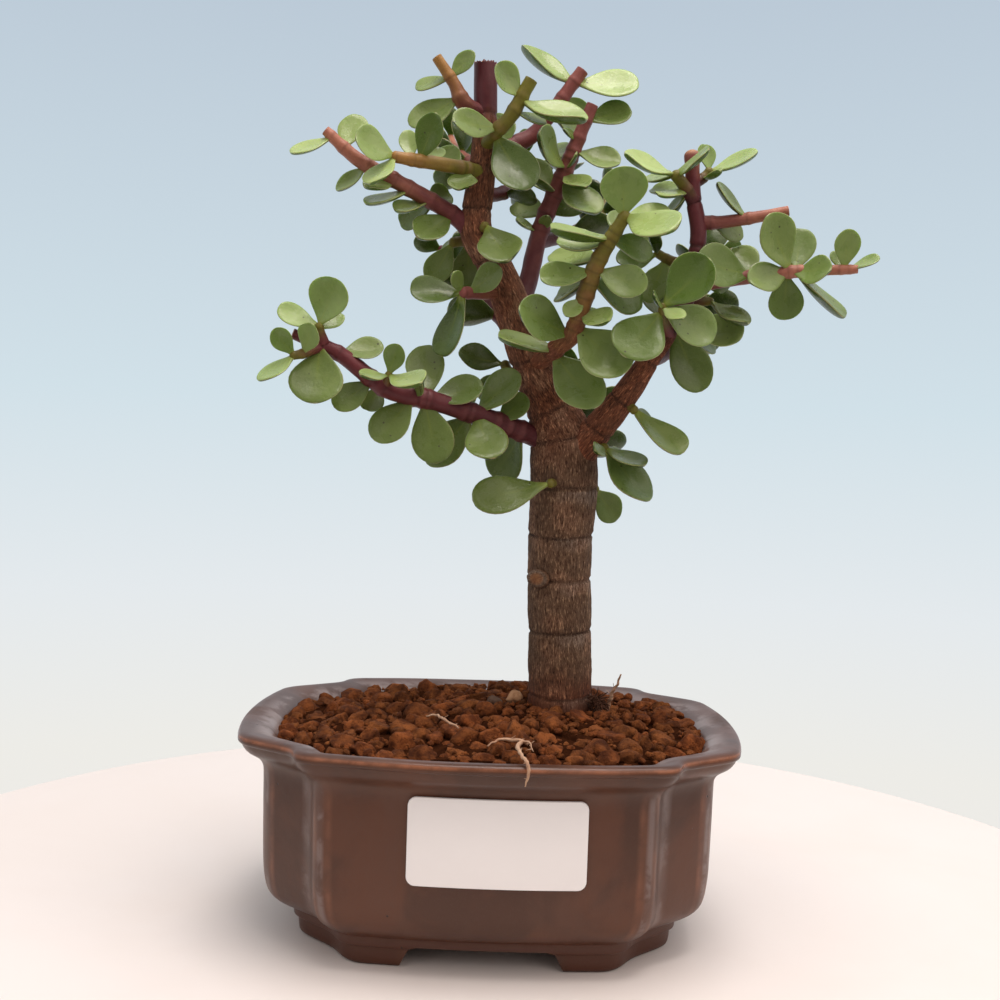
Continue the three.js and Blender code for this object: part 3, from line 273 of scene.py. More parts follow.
def turned(axis: np.ndarray, angle: float) -> np.ndarray:
    """The matrix that turns by an angle, in radians, about an axis of length 1."""
    x, y, z = axis
    cross = np.array([[0, -z, y], [z, 0, -x], [-y, x, 0]])
    turn = np.eye(3) * cos(angle) + cross * sin(angle)
    return turn + np.outer(axis, axis) * (1 - cos(angle))


class FlowLine:
    """A smooth line through given points, with the radius at each of its steps, in mm."""

    def __init__(self, path: Sequence[Point], radii: Sequence[float], per_span: int = 6) -> None:
        knots = np.array(path, float)
        reach = np.vstack([2 * knots[0] - knots[1], knots, 2 * knots[-1] - knots[-2]])
        points = []
        widths = []
        for span in range(len(knots) - 1):
            for step in range(per_span):
                t = step / per_span
                weights = np.array([-0.5 * t + t * t - 0.5 * t**3, 1 - 2.5 * t * t + 1.5 * t**3, 0.5 * t
                    + 2 * t * t - 1.5 * t**3, -0.5 * t * t + 0.5 * t**3])
                points.append(weights @ reach[span:span + 4])
                widths.append(radii[span] + (radii[span + 1] - radii[span]) * t)
        self.points = np.array(points + [knots[-1]])
        self.radii = np.array(widths + [radii[-1]])
        self.runs = np.concatenate([[0.0], np.cumsum(np.linalg.norm(np.diff(self.points, axis=0), axis=1))])

    @property
    def length(self) -> float:
        """The line's length, in mm."""
        return float(self.runs[-1])

    def along(self, place: float) -> tuple[np.ndarray, np.ndarray, float]:
        """The point, direction and radius at a place from 0 to 1.

        Args:
            place: The share of the line's length that lies before the point.

        Returns:
            The point, the direction there and the radius there.
        """
        wanted = place * self.length
        i = min(int(np.searchsorted(self.runs[1:], wanted)), len(self.runs) - 2)
        share = (wanted - self.runs[i]) / (self.runs[i + 1] - self.runs[i])
        start, end = self.points[i], self.points[i + 1]
        radius = self.radii[i] + (self.radii[i + 1] - self.radii[i]) * share
        return start + (end - start) * share, unit(end - start), float(radius)

    def radius_at(self, run: float) -> float:
        """The radius at a run from the line's start."""
        return float(np.interp(run, self.runs, self.radii))

    def height_at(self, run: float) -> float:
        """The height at a run from the line's start."""
        return float(np.interp(run, self.runs, self.points[:, 2]))

    def heading(self, place: float, reach: float) -> np.ndarray:
        """The smoothed direction at a place, over a few mm of the line."""
        step = reach / self.length
        before = self.along(max(0.0, place - step))[0]
        after = self.along(min(1.0, place + step))[0]
        return unit(after - before)


def blade_share(place: Union[float, np.ndarray]) -> np.ndarray:
    """Half width of a blade, as a share of its greatest, at a place from base to tip."""
    place = np.asarray(place, float)
    lower = np.sin(np.pi / 2 * np.clip(place / LEAF_WIDEST, 0, 1)) ** 1.3
    upper = np.sqrt(np.maximum(0, 1 - ((place - LEAF_WIDEST) / (1 - LEAF_WIDEST)) ** 2))
    return np.where(place < LEAF_WIDEST, lower, upper)


@dataclass
class Leaf:
    """One leaf's place and size, in mm, as the solids have it."""

    base: np.ndarray
    axis: np.ndarray
    normal: np.ndarray
    across: np.ndarray
    length: float
    width: float
    thick: float
    youth: float = 0.0

    def rise(self, place: np.ndarray, side: np.ndarray) -> np.ndarray:
        """Height of the blade's middle surface above its chord."""
        sag = -LEAF_SAG * self.length * 4 * place * (1 - place)
        return sag + LEAF_CUP * side * side * blade_share(place) * self.width * 0.5

    def points(self, place: np.ndarray, side: np.ndarray) -> np.ndarray:
        """Points of the middle surface at places and sides, as rows."""
        reach = blade_share(place) * self.width * 0.5 * side
        points = self.base + np.outer(place * self.length, self.axis) + np.outer(reach, self.across)
        return points + np.outer(self.rise(place, side), self.normal)

    def bent(self, size: float, lift: float, swing: float) -> "Leaf":
        """The same leaf, smaller and swung about its base, by angles in degrees."""
        turn = turned(self.across, radians(-lift)) @ turned(self.normal, radians(swing))
        return Leaf(self.base, turn @ self.axis, turn @ self.normal, turn @ self.across, self.length * size,
            self.width * size, self.thick, self.youth)


def make_leaf(base: np.ndarray, reach: np.ndarray, face: np.ndarray, broad: float) -> Leaf:
    """A leaf from its base to its tip, with its face turned as nearly as it goes to a direction."""
    length = float(np.linalg.norm(reach))
    axis = reach / length
    normal = unit(face - axis * float(face @ axis))
    thick = max(LEAF_THINNEST, LEAF_THICK * length)
    return Leaf(base, axis, normal, np.cross(axis, normal), length, length * broad, thick)


@dataclass
class GrownShoot:
    """A shoot with its line and the leaves that found room on it."""

    shoot: Shoot
    line: FlowLine
    leaves: list[Leaf]


class Canopy:
    """Grows every shoot's leaves by the rule that the solids follow, each bent clear of the others."""

    def __init__(self, shoots: Sequence[Shoot]) -> None:
        self.wood = [FlowLine(TRUNK_PATH, TRUNK_RADII), FlowLine(LIMB_PATH, LIMB_RADII)]
        self.shoots = [GrownShoot(shoot, FlowLine(shoot.path, shoot.radii), []) for shoot in shoots]
        self.draw = Draw(DRAW_SEED)
        self.placed: list[tuple[Leaf, np.ndarray]] = []

    def grow(self) -> list[GrownShoot]:
        """Every shoot with its leaves.

        Returns:
            The shoots in their order, each with the leaves that found room.
        """
        for entry in self.shoots:
            for leaf in self.wished(entry):
                self.settle(entry, leaf)
        for entry in self.shoots:
            for leaf in self.measured(entry, entry.shoot.extra):
                self.settle(entry, leaf)
        return self.shoots

    def settle(self, entry: GrownShoot, leaf: Leaf) -> None:
        """Adds the leaf in the first size and bend in which it is clear of everything else."""
        for size in LEAF_SIZES:
            for lift, swing in BENDS:
                option = leaf.bent(size, lift, swing)
                points = option.points(PROBE_PLACES, PROBE_SIDES)
                if self.is_clear(option, points, entry):
                    entry.leaves.append(option)
                    self.placed.append((option, points))
                    return

    def wished(self, entry: GrownShoot) -> list[Leaf]:
        """The leaves a shoot would have if nothing stood in their way."""
        if entry.shoot.leaves:
            return self.measured(entry, entry.shoot.leaves)
        return self.paired(entry)

    def node(self, line: FlowLine, place: float) -> tuple[np.ndarray, np.ndarray, float]:
        """Where a leaf grows on a shoot, never right at its cut end."""
        return line.along(min(place, 1 - LEAF_ROOT / line.length))

    def measured(self, entry: GrownShoot, rows: tuple[tuple[float, ...], ...]) -> list[Leaf]:
        """The leaves of one of the shoot's lists."""
        leaves = []
        for place, right, back, up, tilt, *broad in rows:
            face = np.array([0, -cos(radians(tilt)), sin(radians(tilt))])
            base = self.node(entry.line, place)[0]
            reach = np.array([right, back, up], float)
            leaf = make_leaf(base, reach, face, broad[0] if broad else LEAF_BROAD)
            leaf.youth = entry.shoot.youth * (0.55 + 0.45 * place)
            leaves.append(leaf)
        return leaves

    def paired(self, entry: GrownShoot) -> list[Leaf]:
        """Opposite pairs up a shoot, each pair a quarter turn on from the one below it."""
        leaves = []
        shoot, line, draw = entry.shoot, entry.line, self.draw
        end = line.points[-1] - line.points[0]
        outward = unit(np.array([end[0], end[1], 0.0]))
        for pair in range(shoot.pairs):
            share = pair / (shoot.pairs - 1)
            base, heading, radius = self.node(line, 0.34 + 0.66 * share)
            level = unit(np.cross(heading, [0.0, 0.0, 1.0]))
            level = turned(heading, pair * PAIR_TURN + draw.spread(0.25)) @ level
            size = shoot.longest * (1 - 0.35 * share)
            for way in (1, -1):
                opening = PAIR_OPENING + draw.spread(0.14)
                reach = heading * cos(opening) + level * (way * sin(opening))
                reach = reach * (size * (1 + draw.spread(0.12)) + radius)
                tilt = radians(45 + draw.spread(25))
                face = outward * cos(tilt) + np.array([0, 0, sin(tilt)])
                leaf = make_leaf(base, reach, face, LEAF_BROAD + 0.06 + draw.spread(0.07))
                leaf.youth = shoot.youth * (0.3 + 0.7 * share)
                leaves.append(leaf)
        return leaves

    def is_clear(self, leaf: Leaf, points: np.ndarray, entry: GrownShoot) -> bool:
        """Whether a leaf keeps clear of the wood, of every shoot and of the leaves already placed."""
        margin = leaf.thick * 0.5 + CLEARANCE
        if any(meets_stem(points, line, margin) for line in self.wood):
            return False
        outer = points[PROBE_PLACES >= 0.6]
        for other in self.shoots:
            if meets_stem(outer if other is entry else points, other.line, margin):
                return False
        for other, probes in self.placed:
            gap = np.linalg.norm(points[MIDDLE_PROBE] - probes[MIDDLE_PROBE])
            near = gap < (leaf.length + other.length) * 0.62
            if near and (pierces(points, other) or pierces(probes, leaf)):
                return False
        return True


def meets_stem(points: np.ndarray, line: FlowLine, margin: float) -> bool:
    """Whether any point comes nearer to a stem's surface than the margin."""
    gaps = np.linalg.norm(points[:, None, :] - line.points[None, :, :], axis=2)
    return bool((gaps < line.radii[None, :] + margin).any())


def pierces(points: np.ndarray, leaf: Leaf) -> bool:
    """Whether any point comes too near the blade of a leaf."""
    offset = points - leaf.base
    place = offset @ leaf.axis / leaf.length
    half = blade_share(np.minimum(place, 0.97)) * leaf.width * 0.5
    half = np.where(place < 0.2, 1.0, half)
    side = offset @ leaf.across / half
    level = offset @ leaf.normal - leaf.rise(np.minimum(place, 1), np.clip(side, -1, 1))
    inside = (place >= 0.2) & (place <= 1.06) & (np.abs(side) <= 1 + 0.9 / half)
    return bool((inside & (np.abs(level) < leaf.thick + CLEARANCE)).any())


Value = Union[float, int, tuple, Socket]


class Nodes:
    """Short calls for laying out one node tree, of a material, a group or the world."""

    def __init__(self, tree: NodeTree, groups: Optional[dict[str, NodeTree]] = None) -> None:
        self.tree = tree
        self.groups = groups or {}

    def add(self, kind: str, settings: Optional[dict] = None, **inputs: Value) -> Node:
        """Adds a node.

        Args:
            kind: The node's type without its ShaderNode prefix.
            settings: Attributes set on the node itself.
            **inputs: A value or an output for each input, by its name with underscores for spaces, or by
                its number after one underscore.

        Returns:
            The node.
        """
        node = self.tree.nodes.new("ShaderNode" + kind)
        for name, setting in (settings or {}).items():
            setattr(node, name, setting)
        for name, value in inputs.items():
            numbered = name[0] == "_" and name[1:].isdigit()
            self.join(value, node.inputs[int(name[1:]) if numbered else name.replace("_", " ")])
        return node

    def join(self, value: Value, socket: Socket) -> None:
        """Gives an input its value or its output. A colour input holds four numbers."""
        if isinstance(value, Socket):
            self.tree.links.new(value, socket)
        else:
            colour = socket.type == "RGBA" and len(value) == 3
            socket.default_value = (*value, 1.0) if colour else value

    def feed(self, node: str, **inputs: Value) -> None:
        """Gives a node that the tree came with its values and outputs, by name as in add."""
        for name, value in inputs.items():
            self.join(value, self.tree.nodes[node].inputs[name.replace("_", " ")])

    def math(self, operation: str, first: Value, second: Value = 0.0) -> Socket:
        """One sum of two values."""
        return self.add("Math", {"operation": operation}, _0=first, _1=second).outputs[0]

    def times(self, first: Value, second: Value) -> Socket:
        """The product of two values."""
        return self.math("MULTIPLY", first, second)

    def fit(self, value: Value, low: float, high: float, to_low: float = 0.0,
            to_high: float = 1.0) -> Socket:
        """The value moved smoothly from one range to another, and held inside it."""
        settings = {"interpolation_type": "SMOOTHSTEP"}
        return self.add("MapRange", settings, Value=value, _1=low, _2=high, _3=to_low,
            _4=to_high).outputs[0]

    def mix(self, factor: Value, first: Value, second: Value, blend: str = "MIX") -> Socket:
        """Two colours mixed."""
        settings = {"data_type": "RGBA", "blend_type": blend}
        return self.add("Mix", settings, _0=factor, _6=first, _7=second).outputs[2]

    def lay(self, mask: Value, amount: Value, under: Value, over: Value) -> Socket:
        """A colour laid over another where a mask says, up to an amount."""
        return self.mix(self.times(mask, amount), under, over)

    def tinted(self, colour: Value, tint: Value) -> Socket:
        """A colour multiplied by another."""
        return self.mix(1.0, colour, tint, "MULTIPLY")

    def noise(self, vector: Value, scale: float, detail: float = 3.0, rough: float = 0.55,
            warp: float = 0.0) -> Socket:
        """A noise between 0 and 1."""
        return self.add("TexNoise", Vector=vector, Scale=scale, Detail=detail, Roughness=rough,
            Distortion=warp).outputs[0]

    def read(self, name: str, output: str = "Vector") -> Socket:
        """What the mesh holds at each of its points under a name."""
        return self.add("Attribute", {"attribute_name": name}).outputs[output]

    def place(self) -> Socket:
        """The place on the piece, in metres."""
        return self.add("TexCoord").outputs["Object"]

    def split(self, vector: Value) -> list[Socket]:
        """A vector's or colour's three numbers."""
        return self.add("SeparateXYZ", Vector=vector).outputs[:]

    def paint(self, colour: Value, height: Value, depth: float, strength: float = 1.0,
            **inputs: Value) -> None:
        """Gives the shader its colour and the relief of a height, with a depth in metres."""
        relief = self.add("Bump", Height=height, Distance=depth, Strength=strength).outputs[0]
        self.feed(SHADER, Base_Color=colour, **inputs, Normal=relief)

    def use(self, group: str, vector: Value, **inputs: float) -> Socket:
        """Places one of the shared groups and gives its mask."""
        node = self.tree.nodes.new("ShaderNodeGroup")
        node.node_tree = self.groups[group]
        self.join(vector, node.inputs["Vector"])
        for name, value in inputs.items():
            node.inputs[name].default_value = value
        return node.outputs[0]

    def patches(self, vector: Value, scale: float, low: float, high: float) -> Socket:
        """The shared soft uneven patches."""
        return self.use("patches", vector, Scale=scale, Low=low, High=high)

    def specks(self, vector: Value, scale: float, size: float, rarity: float) -> Socket:
        """The shared small round specks."""
        return self.use("speckle", vector, Scale=scale, Size=size, Rarity=rarity)

    def fibres(self, vector: Value, fineness: float, length: float) -> Socket:
        """The shared fine ridges."""
        return self.use("fibre", vector, Fineness=fineness, Length=length)


def make_group(name: str, inputs: dict[str, float],
        build: Callable[[Nodes, NodeOutputs], Socket]) -> NodeTree:
    """A shader node group with a vector input, number inputs and one mask output.

    Args:
        name: The group's name.
        inputs: Each number input's name and usual value.
        build: Lays out the group's nodes from its inputs and gives the mask.

    Returns:
        The group.
    """
    group = bpy.data.node_groups.new(name, "ShaderNodeTree")
    group.interface.new_socket("Vector", in_out="INPUT", socket_type="NodeSocketVector")
    for label, usual in inputs.items():
        made = group.interface.new_socket(label, in_out="INPUT", socket_type="NodeSocketFloat")
        made.default_value = usual
    group.interface.new_socket("Mask", in_out="OUTPUT", socket_type="NodeSocketFloat")
    entry = group.nodes.new("NodeGroupInput")
    leave = group.nodes.new("NodeGroupOutput")
    group.links.new(build(Nodes(group), entry.outputs), leave.inputs[0])
    return group


def lay_specks(nodes: Nodes, given: NodeOutputs) -> Socket:
    """Small round specks, thrown at random and left out in most places."""
    cells = nodes.add("TexVoronoi", {"feature": "F1"}, Vector=given["Vector"], Scale=given["Scale"],
        Randomness=1.0)
    dot = nodes.fit(nodes.math("DIVIDE", cells.outputs["Distance"], given["Size"]), 1.0, 0.55)
    chance = nodes.split(cells.outputs["Color"])[0]
    return nodes.times(dot, nodes.math("GREATER_THAN", chance, given["Rarity"]))


def lay_patches(nodes: Nodes, given: NodeOutputs) -> Socket:
    """Soft uneven patches."""
    cloud = nodes.noise(given["Vector"], given["Scale"], 4.0, 0.6, 0.4)
    return nodes.add("MapRange", {"interpolation_type": "SMOOTHSTEP"}, Value=cloud, _1=given["Low"],
        _2=given["High"]).outputs[0]


def lay_fibres(nodes: Nodes, given: NodeOutputs) -> Socket:
    """Fine ridges that run along the third axis of the vector."""
    fineness = given["Fineness"]
    stretch = nodes.add("CombineXYZ", X=fineness, Y=fineness, Z=nodes.times(fineness, given["Length"]))
    laid = nodes.add("VectorMath", {"operation": "MULTIPLY"}, _0=given["Vector"], _1=stretch.outputs[0])
    return nodes.fit(nodes.noise(laid.outputs[0], 1.0, 5.0, 0.65, 0.35), 0.3, 0.7)


def shared_groups() -> dict[str, NodeTree]:
    """The effects that more than one finish uses, each a node group built once."""
    return {"speckle": make_group("speckle", {"Scale": 300.0, "Size": 0.2, "Rarity": 0.7}, lay_specks),
        "patches": make_group("patches", {"Scale": 20.0, "Low": 0.4, "High": 0.65}, lay_patches),
        "fibre": make_group("fibre", {"Fineness": 1.0, "Length": 0.1}, lay_fibres)}


@dataclass(frozen=True)
class Finish:
    """What every finish shares: a material with one Principled shader and its usual gloss."""

    name: str
    roughness: float = 0.6
    specular: float = 0.5
    coat: float = 0.0
    coat_roughness: float = 0.2
    soft: float = 0.0
    soft_reach: Colour = (0.002, 0.002, 0.001)

    def make(self, groups: dict[str, NodeTree]) -> Material:
        """The finish as a material.

        Args:
            groups: The shared node groups.

        Returns:
            The material.
        """
        material = bpy.data.materials.new(self.name)
        material.use_nodes = True
        nodes = Nodes(material.node_tree, groups)
        nodes.feed(SHADER, Roughness=self.roughness, Specular_IOR_Level=self.specular,
            Coat_Weight=self.coat, Coat_Roughness=self.coat_roughness)
        if self.soft > 0:
            nodes.feed(SHADER, Subsurface_Weight=self.soft, Subsurface_Radius=self.soft_reach,
                Subsurface_Scale=1.0)
        self.dress(nodes)
        return material

    def dress(self, nodes: Nodes) -> None:
        """Lays out the nodes that give the finish its colour and relief."""
        raise NotImplementedError


@dataclass(frozen=True)
class LeafFinish(Finish):
    """Waxy fleshy leaves: paler faces, greener backs darkened with painted shade, painted shade on leaves
    that turn from the sky, a fine pale rim, specks, and brighter young ones.
    """

    old_face: Colour = (0.185, 0.255, 0.058)
    young_face: Colour = (0.47, 0.63, 0.22)
    old_back: Colour = (0.045, 0.08, 0.009)
    young_back: Colour = (0.115, 0.215, 0.016)
    lighter: Colour = (1.22, 1.16, 1.25)
    # Multiplied in by the tint: painted shade on leaves whose face turns from the sky, and random tone.
    tone_and_tilt_shade: Colour = (0.2, 0.28, 0.09)
    dust: Colour = (0.4, 0.47, 0.2)
    rim: Colour = (0.52, 0.54, 0.27)
    old_rim: Colour = (0.36, 0.25, 0.13)
    neck: Colour = (0.27, 0.33, 0.045)
    speck: Colour = (0.03, 0.022, 0.012)

    def dress(self, nodes: Nodes) -> None:
        """Colour from face to back and from old to young, then the rim, the neck and the specks."""
        place, side, level = nodes.split(nodes.read("blade"))
        youth, tint, worn = nodes.split(nodes.read("growth"))
        where = nodes.place()
        face = nodes.mix(youth, self.old_face, self.young_face)
        # The backs are greener than the faces, and darkened as painted shade, since they turn away from the
        # light.
        back = nodes.mix(youth, self.old_back, self.young_back)
        turned_up = nodes.fit(level, 0.42, 0.62)
        colour = nodes.mix(turned_up, back, face)
        cloud = nodes.patches(where, scale=160.0, low=0.3, high=0.75)
        colour = nodes.mix(cloud, colour, nodes.tinted(colour, self.lighter))
        # The tint is half painted shade, more where a leaf's face turns from the sky, and half random tone.
        colour = nodes.mix(tint, colour, nodes.tinted(colour, self.tone_and_tilt_shade))
        grain = nodes.noise(where, 2600.0, 2.0, 0.6)
        colour = nodes.mix(nodes.fit(grain, 0.35, 0.7, 0.0, 0.08), colour, self.dust)
        colour = nodes.mix(nodes.fit(place, 0.2, 0.03, 0.0, 0.75), colour, self.neck)
        midrib = nodes.times(nodes.fit(side, 0.12, 0.0, 0.0, 0.28), nodes.fit(place, 0.8, 0.2))
        colour = nodes.lay(midrib, turned_up, colour, self.neck)
        rim = nodes.math("MAXIMUM", nodes.fit(side, 0.93, 0.99), nodes.fit(place, 0.98, 0.997))
        rim_colour = nodes.mix(worn, self.rim, self.old_rim)
        colour = nodes.lay(rim, 0.75, colour, rim_colour)
        specks = nodes.specks(where, scale=420.0, size=0.17, rarity=0.86)
        colour = nodes.lay(specks, 0.8, colour, self.speck)
        fine, broad = nodes.noise(where, 1500.0, 3.0, 0.6), nodes.noise(where, 230.0, 2.0, 0.5)
        skin = nodes.math("ADD", fine, nodes.times(broad, 6.0))
        rough = nodes.fit(cloud, 0.0, 1.0, self.roughness - 0.08, self.roughness + 0.1)
        nodes.paint(colour, skin, 0.00006, 0.8, Roughness=rough)


@dataclass(frozen=True)
class WoodFinish(Finish):
    """Bark with lengthwise fibres, which gives way to smooth juicy skin on the young shoots."""

    crack: Colour = (0.26, 0.19, 0.15)
    ridge: Colour = (3.0, 3.3, 3.3)
    patch: Colour = (0.22, 0.15, 0.1)
    lighter: Colour = (1.5, 1.7, 1.6)
    ring: Colour = (0.028, 0.015, 0.01)
    wet_soil: Colour = (0.16, 0.052, 0.022)

    def dress(self, nodes: Nodes) -> None:
        """The skin's own colour, with fibres and pale ridges where the mesh says that it is bark."""
        skin = nodes.read("skin", "Color")
        bark, ring, stain = nodes.split(nodes.read("nature"))
        grain = nodes.read("grain")
        coarse, fine = nodes.fibres(grain, 1.5, 0.24), nodes.fibres(grain, 3.6, 0.2)
        both = nodes.times(nodes.math("ADD", coarse, fine), 0.5)
        crack, ridge = nodes.tinted(skin, self.crack), nodes.tinted(skin, self.ridge)
        barky = nodes.mix(nodes.fit(both, 0.18, 0.5), crack, skin)
        barky = nodes.mix(nodes.fit(both, 0.6, 0.92), barky, ridge)
        barky = nodes.lay(nodes.patches(grain, scale=0.11, low=0.35, high=0.7), 0.22, barky, self.patch)
        cloud = nodes.patches(grain, scale=0.5, low=0.3, high=0.8)
        lighter = nodes.tinted(skin, self.lighter)
        colour = nodes.mix(bark, nodes.lay(cloud, 0.55, skin, lighter), barky)
        colour = nodes.lay(ring, 0.72, colour, self.ring)
        colour = nodes.mix(stain, colour, self.wet_soil)
        relief = nodes.times(both, bark)
        relief = nodes.math("ADD", relief, nodes.times(nodes.noise(grain, 2.4, 3.0, 0.6), 0.12))
        rough = nodes.fit(bark, 0.0, 1.0, 0.42, 0.88)
        nodes.paint(colour, relief, 0.0006, Roughness=rough)


@dataclass(frozen=True)
class GlazeFinish(Finish):
    """Brown glaze over stoneware: a grey-blue bloom where it lies thick, rusty where it runs thin, with
    painted highlights on the lip and the corners and painted sheen inside the rim.
    """

    body: Colour = (0.062, 0.022, 0.01)
    warm: Colour = (0.098, 0.033, 0.014)
    bloom: Colour = (0.088, 0.045, 0.031)
    pale_bloom_and_sheen: Colour = (0.26, 0.205, 0.192)
    rust_and_lip_glint: Colour = (0.33, 0.13, 0.066)
    clay: Colour = (0.072, 0.02, 0.008)
    pit: Colour = (0.016, 0.01, 0.009)

    def dress(self, nodes: Nodes) -> None:
        """Clouds of brown, a pale bloom on the rim, partly painted sheen, and in the hollows, painted
        highlight lines on the corners' crowns, rusty edges, a painted highlight along the lip's bead, and
        small dark pits.
        """
        where = nodes.place()
        thin, inner, low = nodes.split(nodes.read("glaze"))
        colour = nodes.mix(nodes.patches(where, scale=34.0, low=0.38, high=0.62), self.body, self.warm)
        tall = nodes.add("Mapping", Vector=where, Scale=(1.0, 1.0, 0.35)).outputs[0]
        drift = nodes.patches(tall, scale=60.0, low=0.46, high=0.74)
        colour = nodes.lay(drift, 0.5, colour, self.bloom)
        streak = nodes.patches(where, scale=80.0, low=0.4, high=0.6)
        # The pale bloom: pooled glaze in the concave corners, partly painted sheen inside the rim, and a
        # painted highlight line on each corner's crown.
        colour = nodes.lay(inner, nodes.fit(streak, 0.0, 1.0, 0.15, 1.0), colour, self.pale_bloom_and_sheen)
        worn = nodes.patches(where, scale=150.0, low=0.25, high=0.7)
        # Rusty where the glaze runs thin at the corners; along the lip's bead the band is partly a painted
        # highlight.
        colour = nodes.lay(thin, nodes.fit(worn, 0.0, 1.0, 0.35, 0.95), colour, self.rust_and_lip_glint)
        colour = nodes.lay(low, 0.8, colour, self.clay)
        pits = nodes.specks(where, scale=230.0, size=0.1, rarity=0.82)
        colour = nodes.lay(pits, 0.85, colour, self.pit)
        freckle = nodes.noise(where, 1900.0, 2.0, 0.7)
        colour = nodes.mix(nodes.fit(freckle, 0.5, 0.8, 0.0, 0.3), colour, self.bloom)
        waves = nodes.noise(where, 70.0, 3.0, 0.5)
        relief = nodes.math("SUBTRACT", nodes.math("ADD", waves, nodes.times(freckle, 0.12)), pits)
        rough = nodes.fit(drift, 0.0, 1.0, self.roughness - 0.06, self.roughness + 0.12)
        rough = nodes.math("SUBTRACT", rough, nodes.times(thin, 0.12))
        nodes.paint(colour, relief, 0.0005, 0.5, Roughness=rough)


@dataclass(frozen=True)
class ClayFinish(Finish):
    """Crumbly baked clay: red-brown, with wet patches, painted shade in its pits, and pale dust on its
    corners.
    """

    damp_and_pit_shade: Colour = (0.085, 0.026, 0.01)
    dry: Colour = (0.32, 0.104, 0.031)
    dust: Colour = (0.33, 0.13, 0.05)

    def dress(self, nodes: Nodes) -> None:
        """Each grain's own tint, with crumbs, dust and painted shade in its pits over it."""
        where = nodes.place()
        tint = nodes.read("tint", "Color")
        colour = nodes.mix(nodes.patches(where, scale=260.0, low=0.3, high=0.7), self.damp_and_pit_shade, self.dry)
        colour = nodes.mix(0.7, colour, tint, "MULTIPLY")
        crumb = nodes.noise(where, 1400.0, 4.0, 0.7)
        colour = nodes.mix(nodes.fit(crumb, 0.58, 0.78, 0.0, 0.4), colour, self.dust)
        # Painted shade: the pits of the crumb noise, where the relief is lowest, go dark.
        colour = nodes.mix(nodes.fit(crumb, 0.46, 0.32, 0.0, 0.8), colour, self.damp_and_pit_shade)
        nodes.paint(colour, crumb, 0.0011)


@dataclass(frozen=True)
class PlainFinish(Finish):
    """One colour broken by faint clouds and a fine tooth."""

    colour: Colour = (0.5, 0.5, 0.5)
    shade: Colour = (0.4, 0.4, 0.4)
    cloud_scale: float = 300.0
    tooth: float = 0.00002

    def dress(self, nodes: Nodes) -> None:
        """Clouds between two near colours, with a fine relief."""
        where = nodes.place()
        cloud = nodes.patches(where, self.cloud_scale, 0.3, 0.75)
        grain = nodes.noise(where, 3000.0, 2.0, 0.6)
        nodes.paint(nodes.mix(cloud, self.colour, self.shade), grain, self.tooth)


@dataclass(frozen=True)
class NetFinish(Finish):
    """Black plastic net: threads crossing at right angles, with dark gaps between them."""

    thread: Colour = (0.04, 0.04, 0.04)
    gap: Colour = (0.004, 0.004, 0.004)
    pitch: float = 0.0018

    def dress(self, nodes: Nodes) -> None:
        """Threads along both axes of the net."""
        threads = []
        for run in nodes.split(nodes.place())[:2]:
            turns = nodes.times(run, 2 * pi / self.pitch)
            threads.append(nodes.fit(nodes.math("SINE", turns), -0.2, 0.5))
        net = nodes.math("MAXIMUM", *threads)
        nodes.paint(nodes.mix(net, self.gap, self.thread), net, 0.0003)


class Palette:
    """Every material of the scene, made once."""

    def __init__(self) -> None:
        groups = shared_groups()
        self.leaf = LeafFinish("leaf_flesh", 0.33, 0.34, coat=0.12, coat_roughness=0.24, soft=0.16,
            soft_reach=(0.0014, 0.0022, 0.0005)).make(groups)
        self.wood = WoodFinish("bark_and_skin", specular=0.3).make(groups)
        self.glaze = GlazeFinish("brown_glaze", 0.42, 0.38, coat=0.08, coat_roughness=0.24).make(groups)
        self.clay = ClayFinish("baked_clay", 0.96, 0.15).make(groups)
        # Near-black packed soil: painted shade in the gaps between the grains.
        self.deep_clay = PlainFinish("shaded_clay", 0.98, 0.0, colour=(0.03, 0.01, 0.005),
            shade=(0.06, 0.02, 0.008), cloud_scale=400.0, tooth=0.0006).make(groups)
        self.label = PlainFinish("white_label", 0.45, colour=(0.93, 0.91, 0.9), shade=(0.91, 0.89, 0.88),
            cloud_scale=30.0).make(groups)
        self.root = PlainFinish("dry_root", 0.85, colour=(0.56, 0.37, 0.24), shade=(0.36, 0.19, 0.11),
            cloud_scale=220.0, tooth=0.00008).make(groups)
        self.root_hair = PlainFinish("root_hair", 0.95, 0.1, colour=(0.115, 0.055, 0.034),
            shade=(0.04, 0.018, 0.011)).make(groups)
        self.chip = PlainFinish("pale_stone", 0.95, 0.1, colour=(0.46, 0.27, 0.15),
            shade=(0.24, 0.115, 0.055), tooth=0.0002).make(groups)
        self.pebble = PlainFinish("grey_stone", 0.95, 0.1, colour=(0.13, 0.08, 0.055),
            shade=(0.06, 0.032, 0.02), cloud_scale=260.0, tooth=0.0003).make(groups)
        self.net = NetFinish("drain_net").make(groups)
        self.floor = PlainFinish("pale_floor", 0.75, 0.2, colour=(0.8, 0.755, 0.72),
            shade=(0.78, 0.725, 0.68), cloud_scale=9.0).make(groups)


def make_mesh(bm: BMesh, name: str) -> Mesh:
    """A named mesh of a bmesh, which is freed."""
    mesh = bpy.data.meshes.new(name)
    bm.to_mesh(mesh)
    bm.free()
    return mesh


def add_object(name: str, data: ID) -> Object:
    """An object in the scene that shows a mesh, a light or a camera."""
    made = bpy.data.objects.new(name, data)
    bpy.context.scene.collection.objects.link(made)
    return made


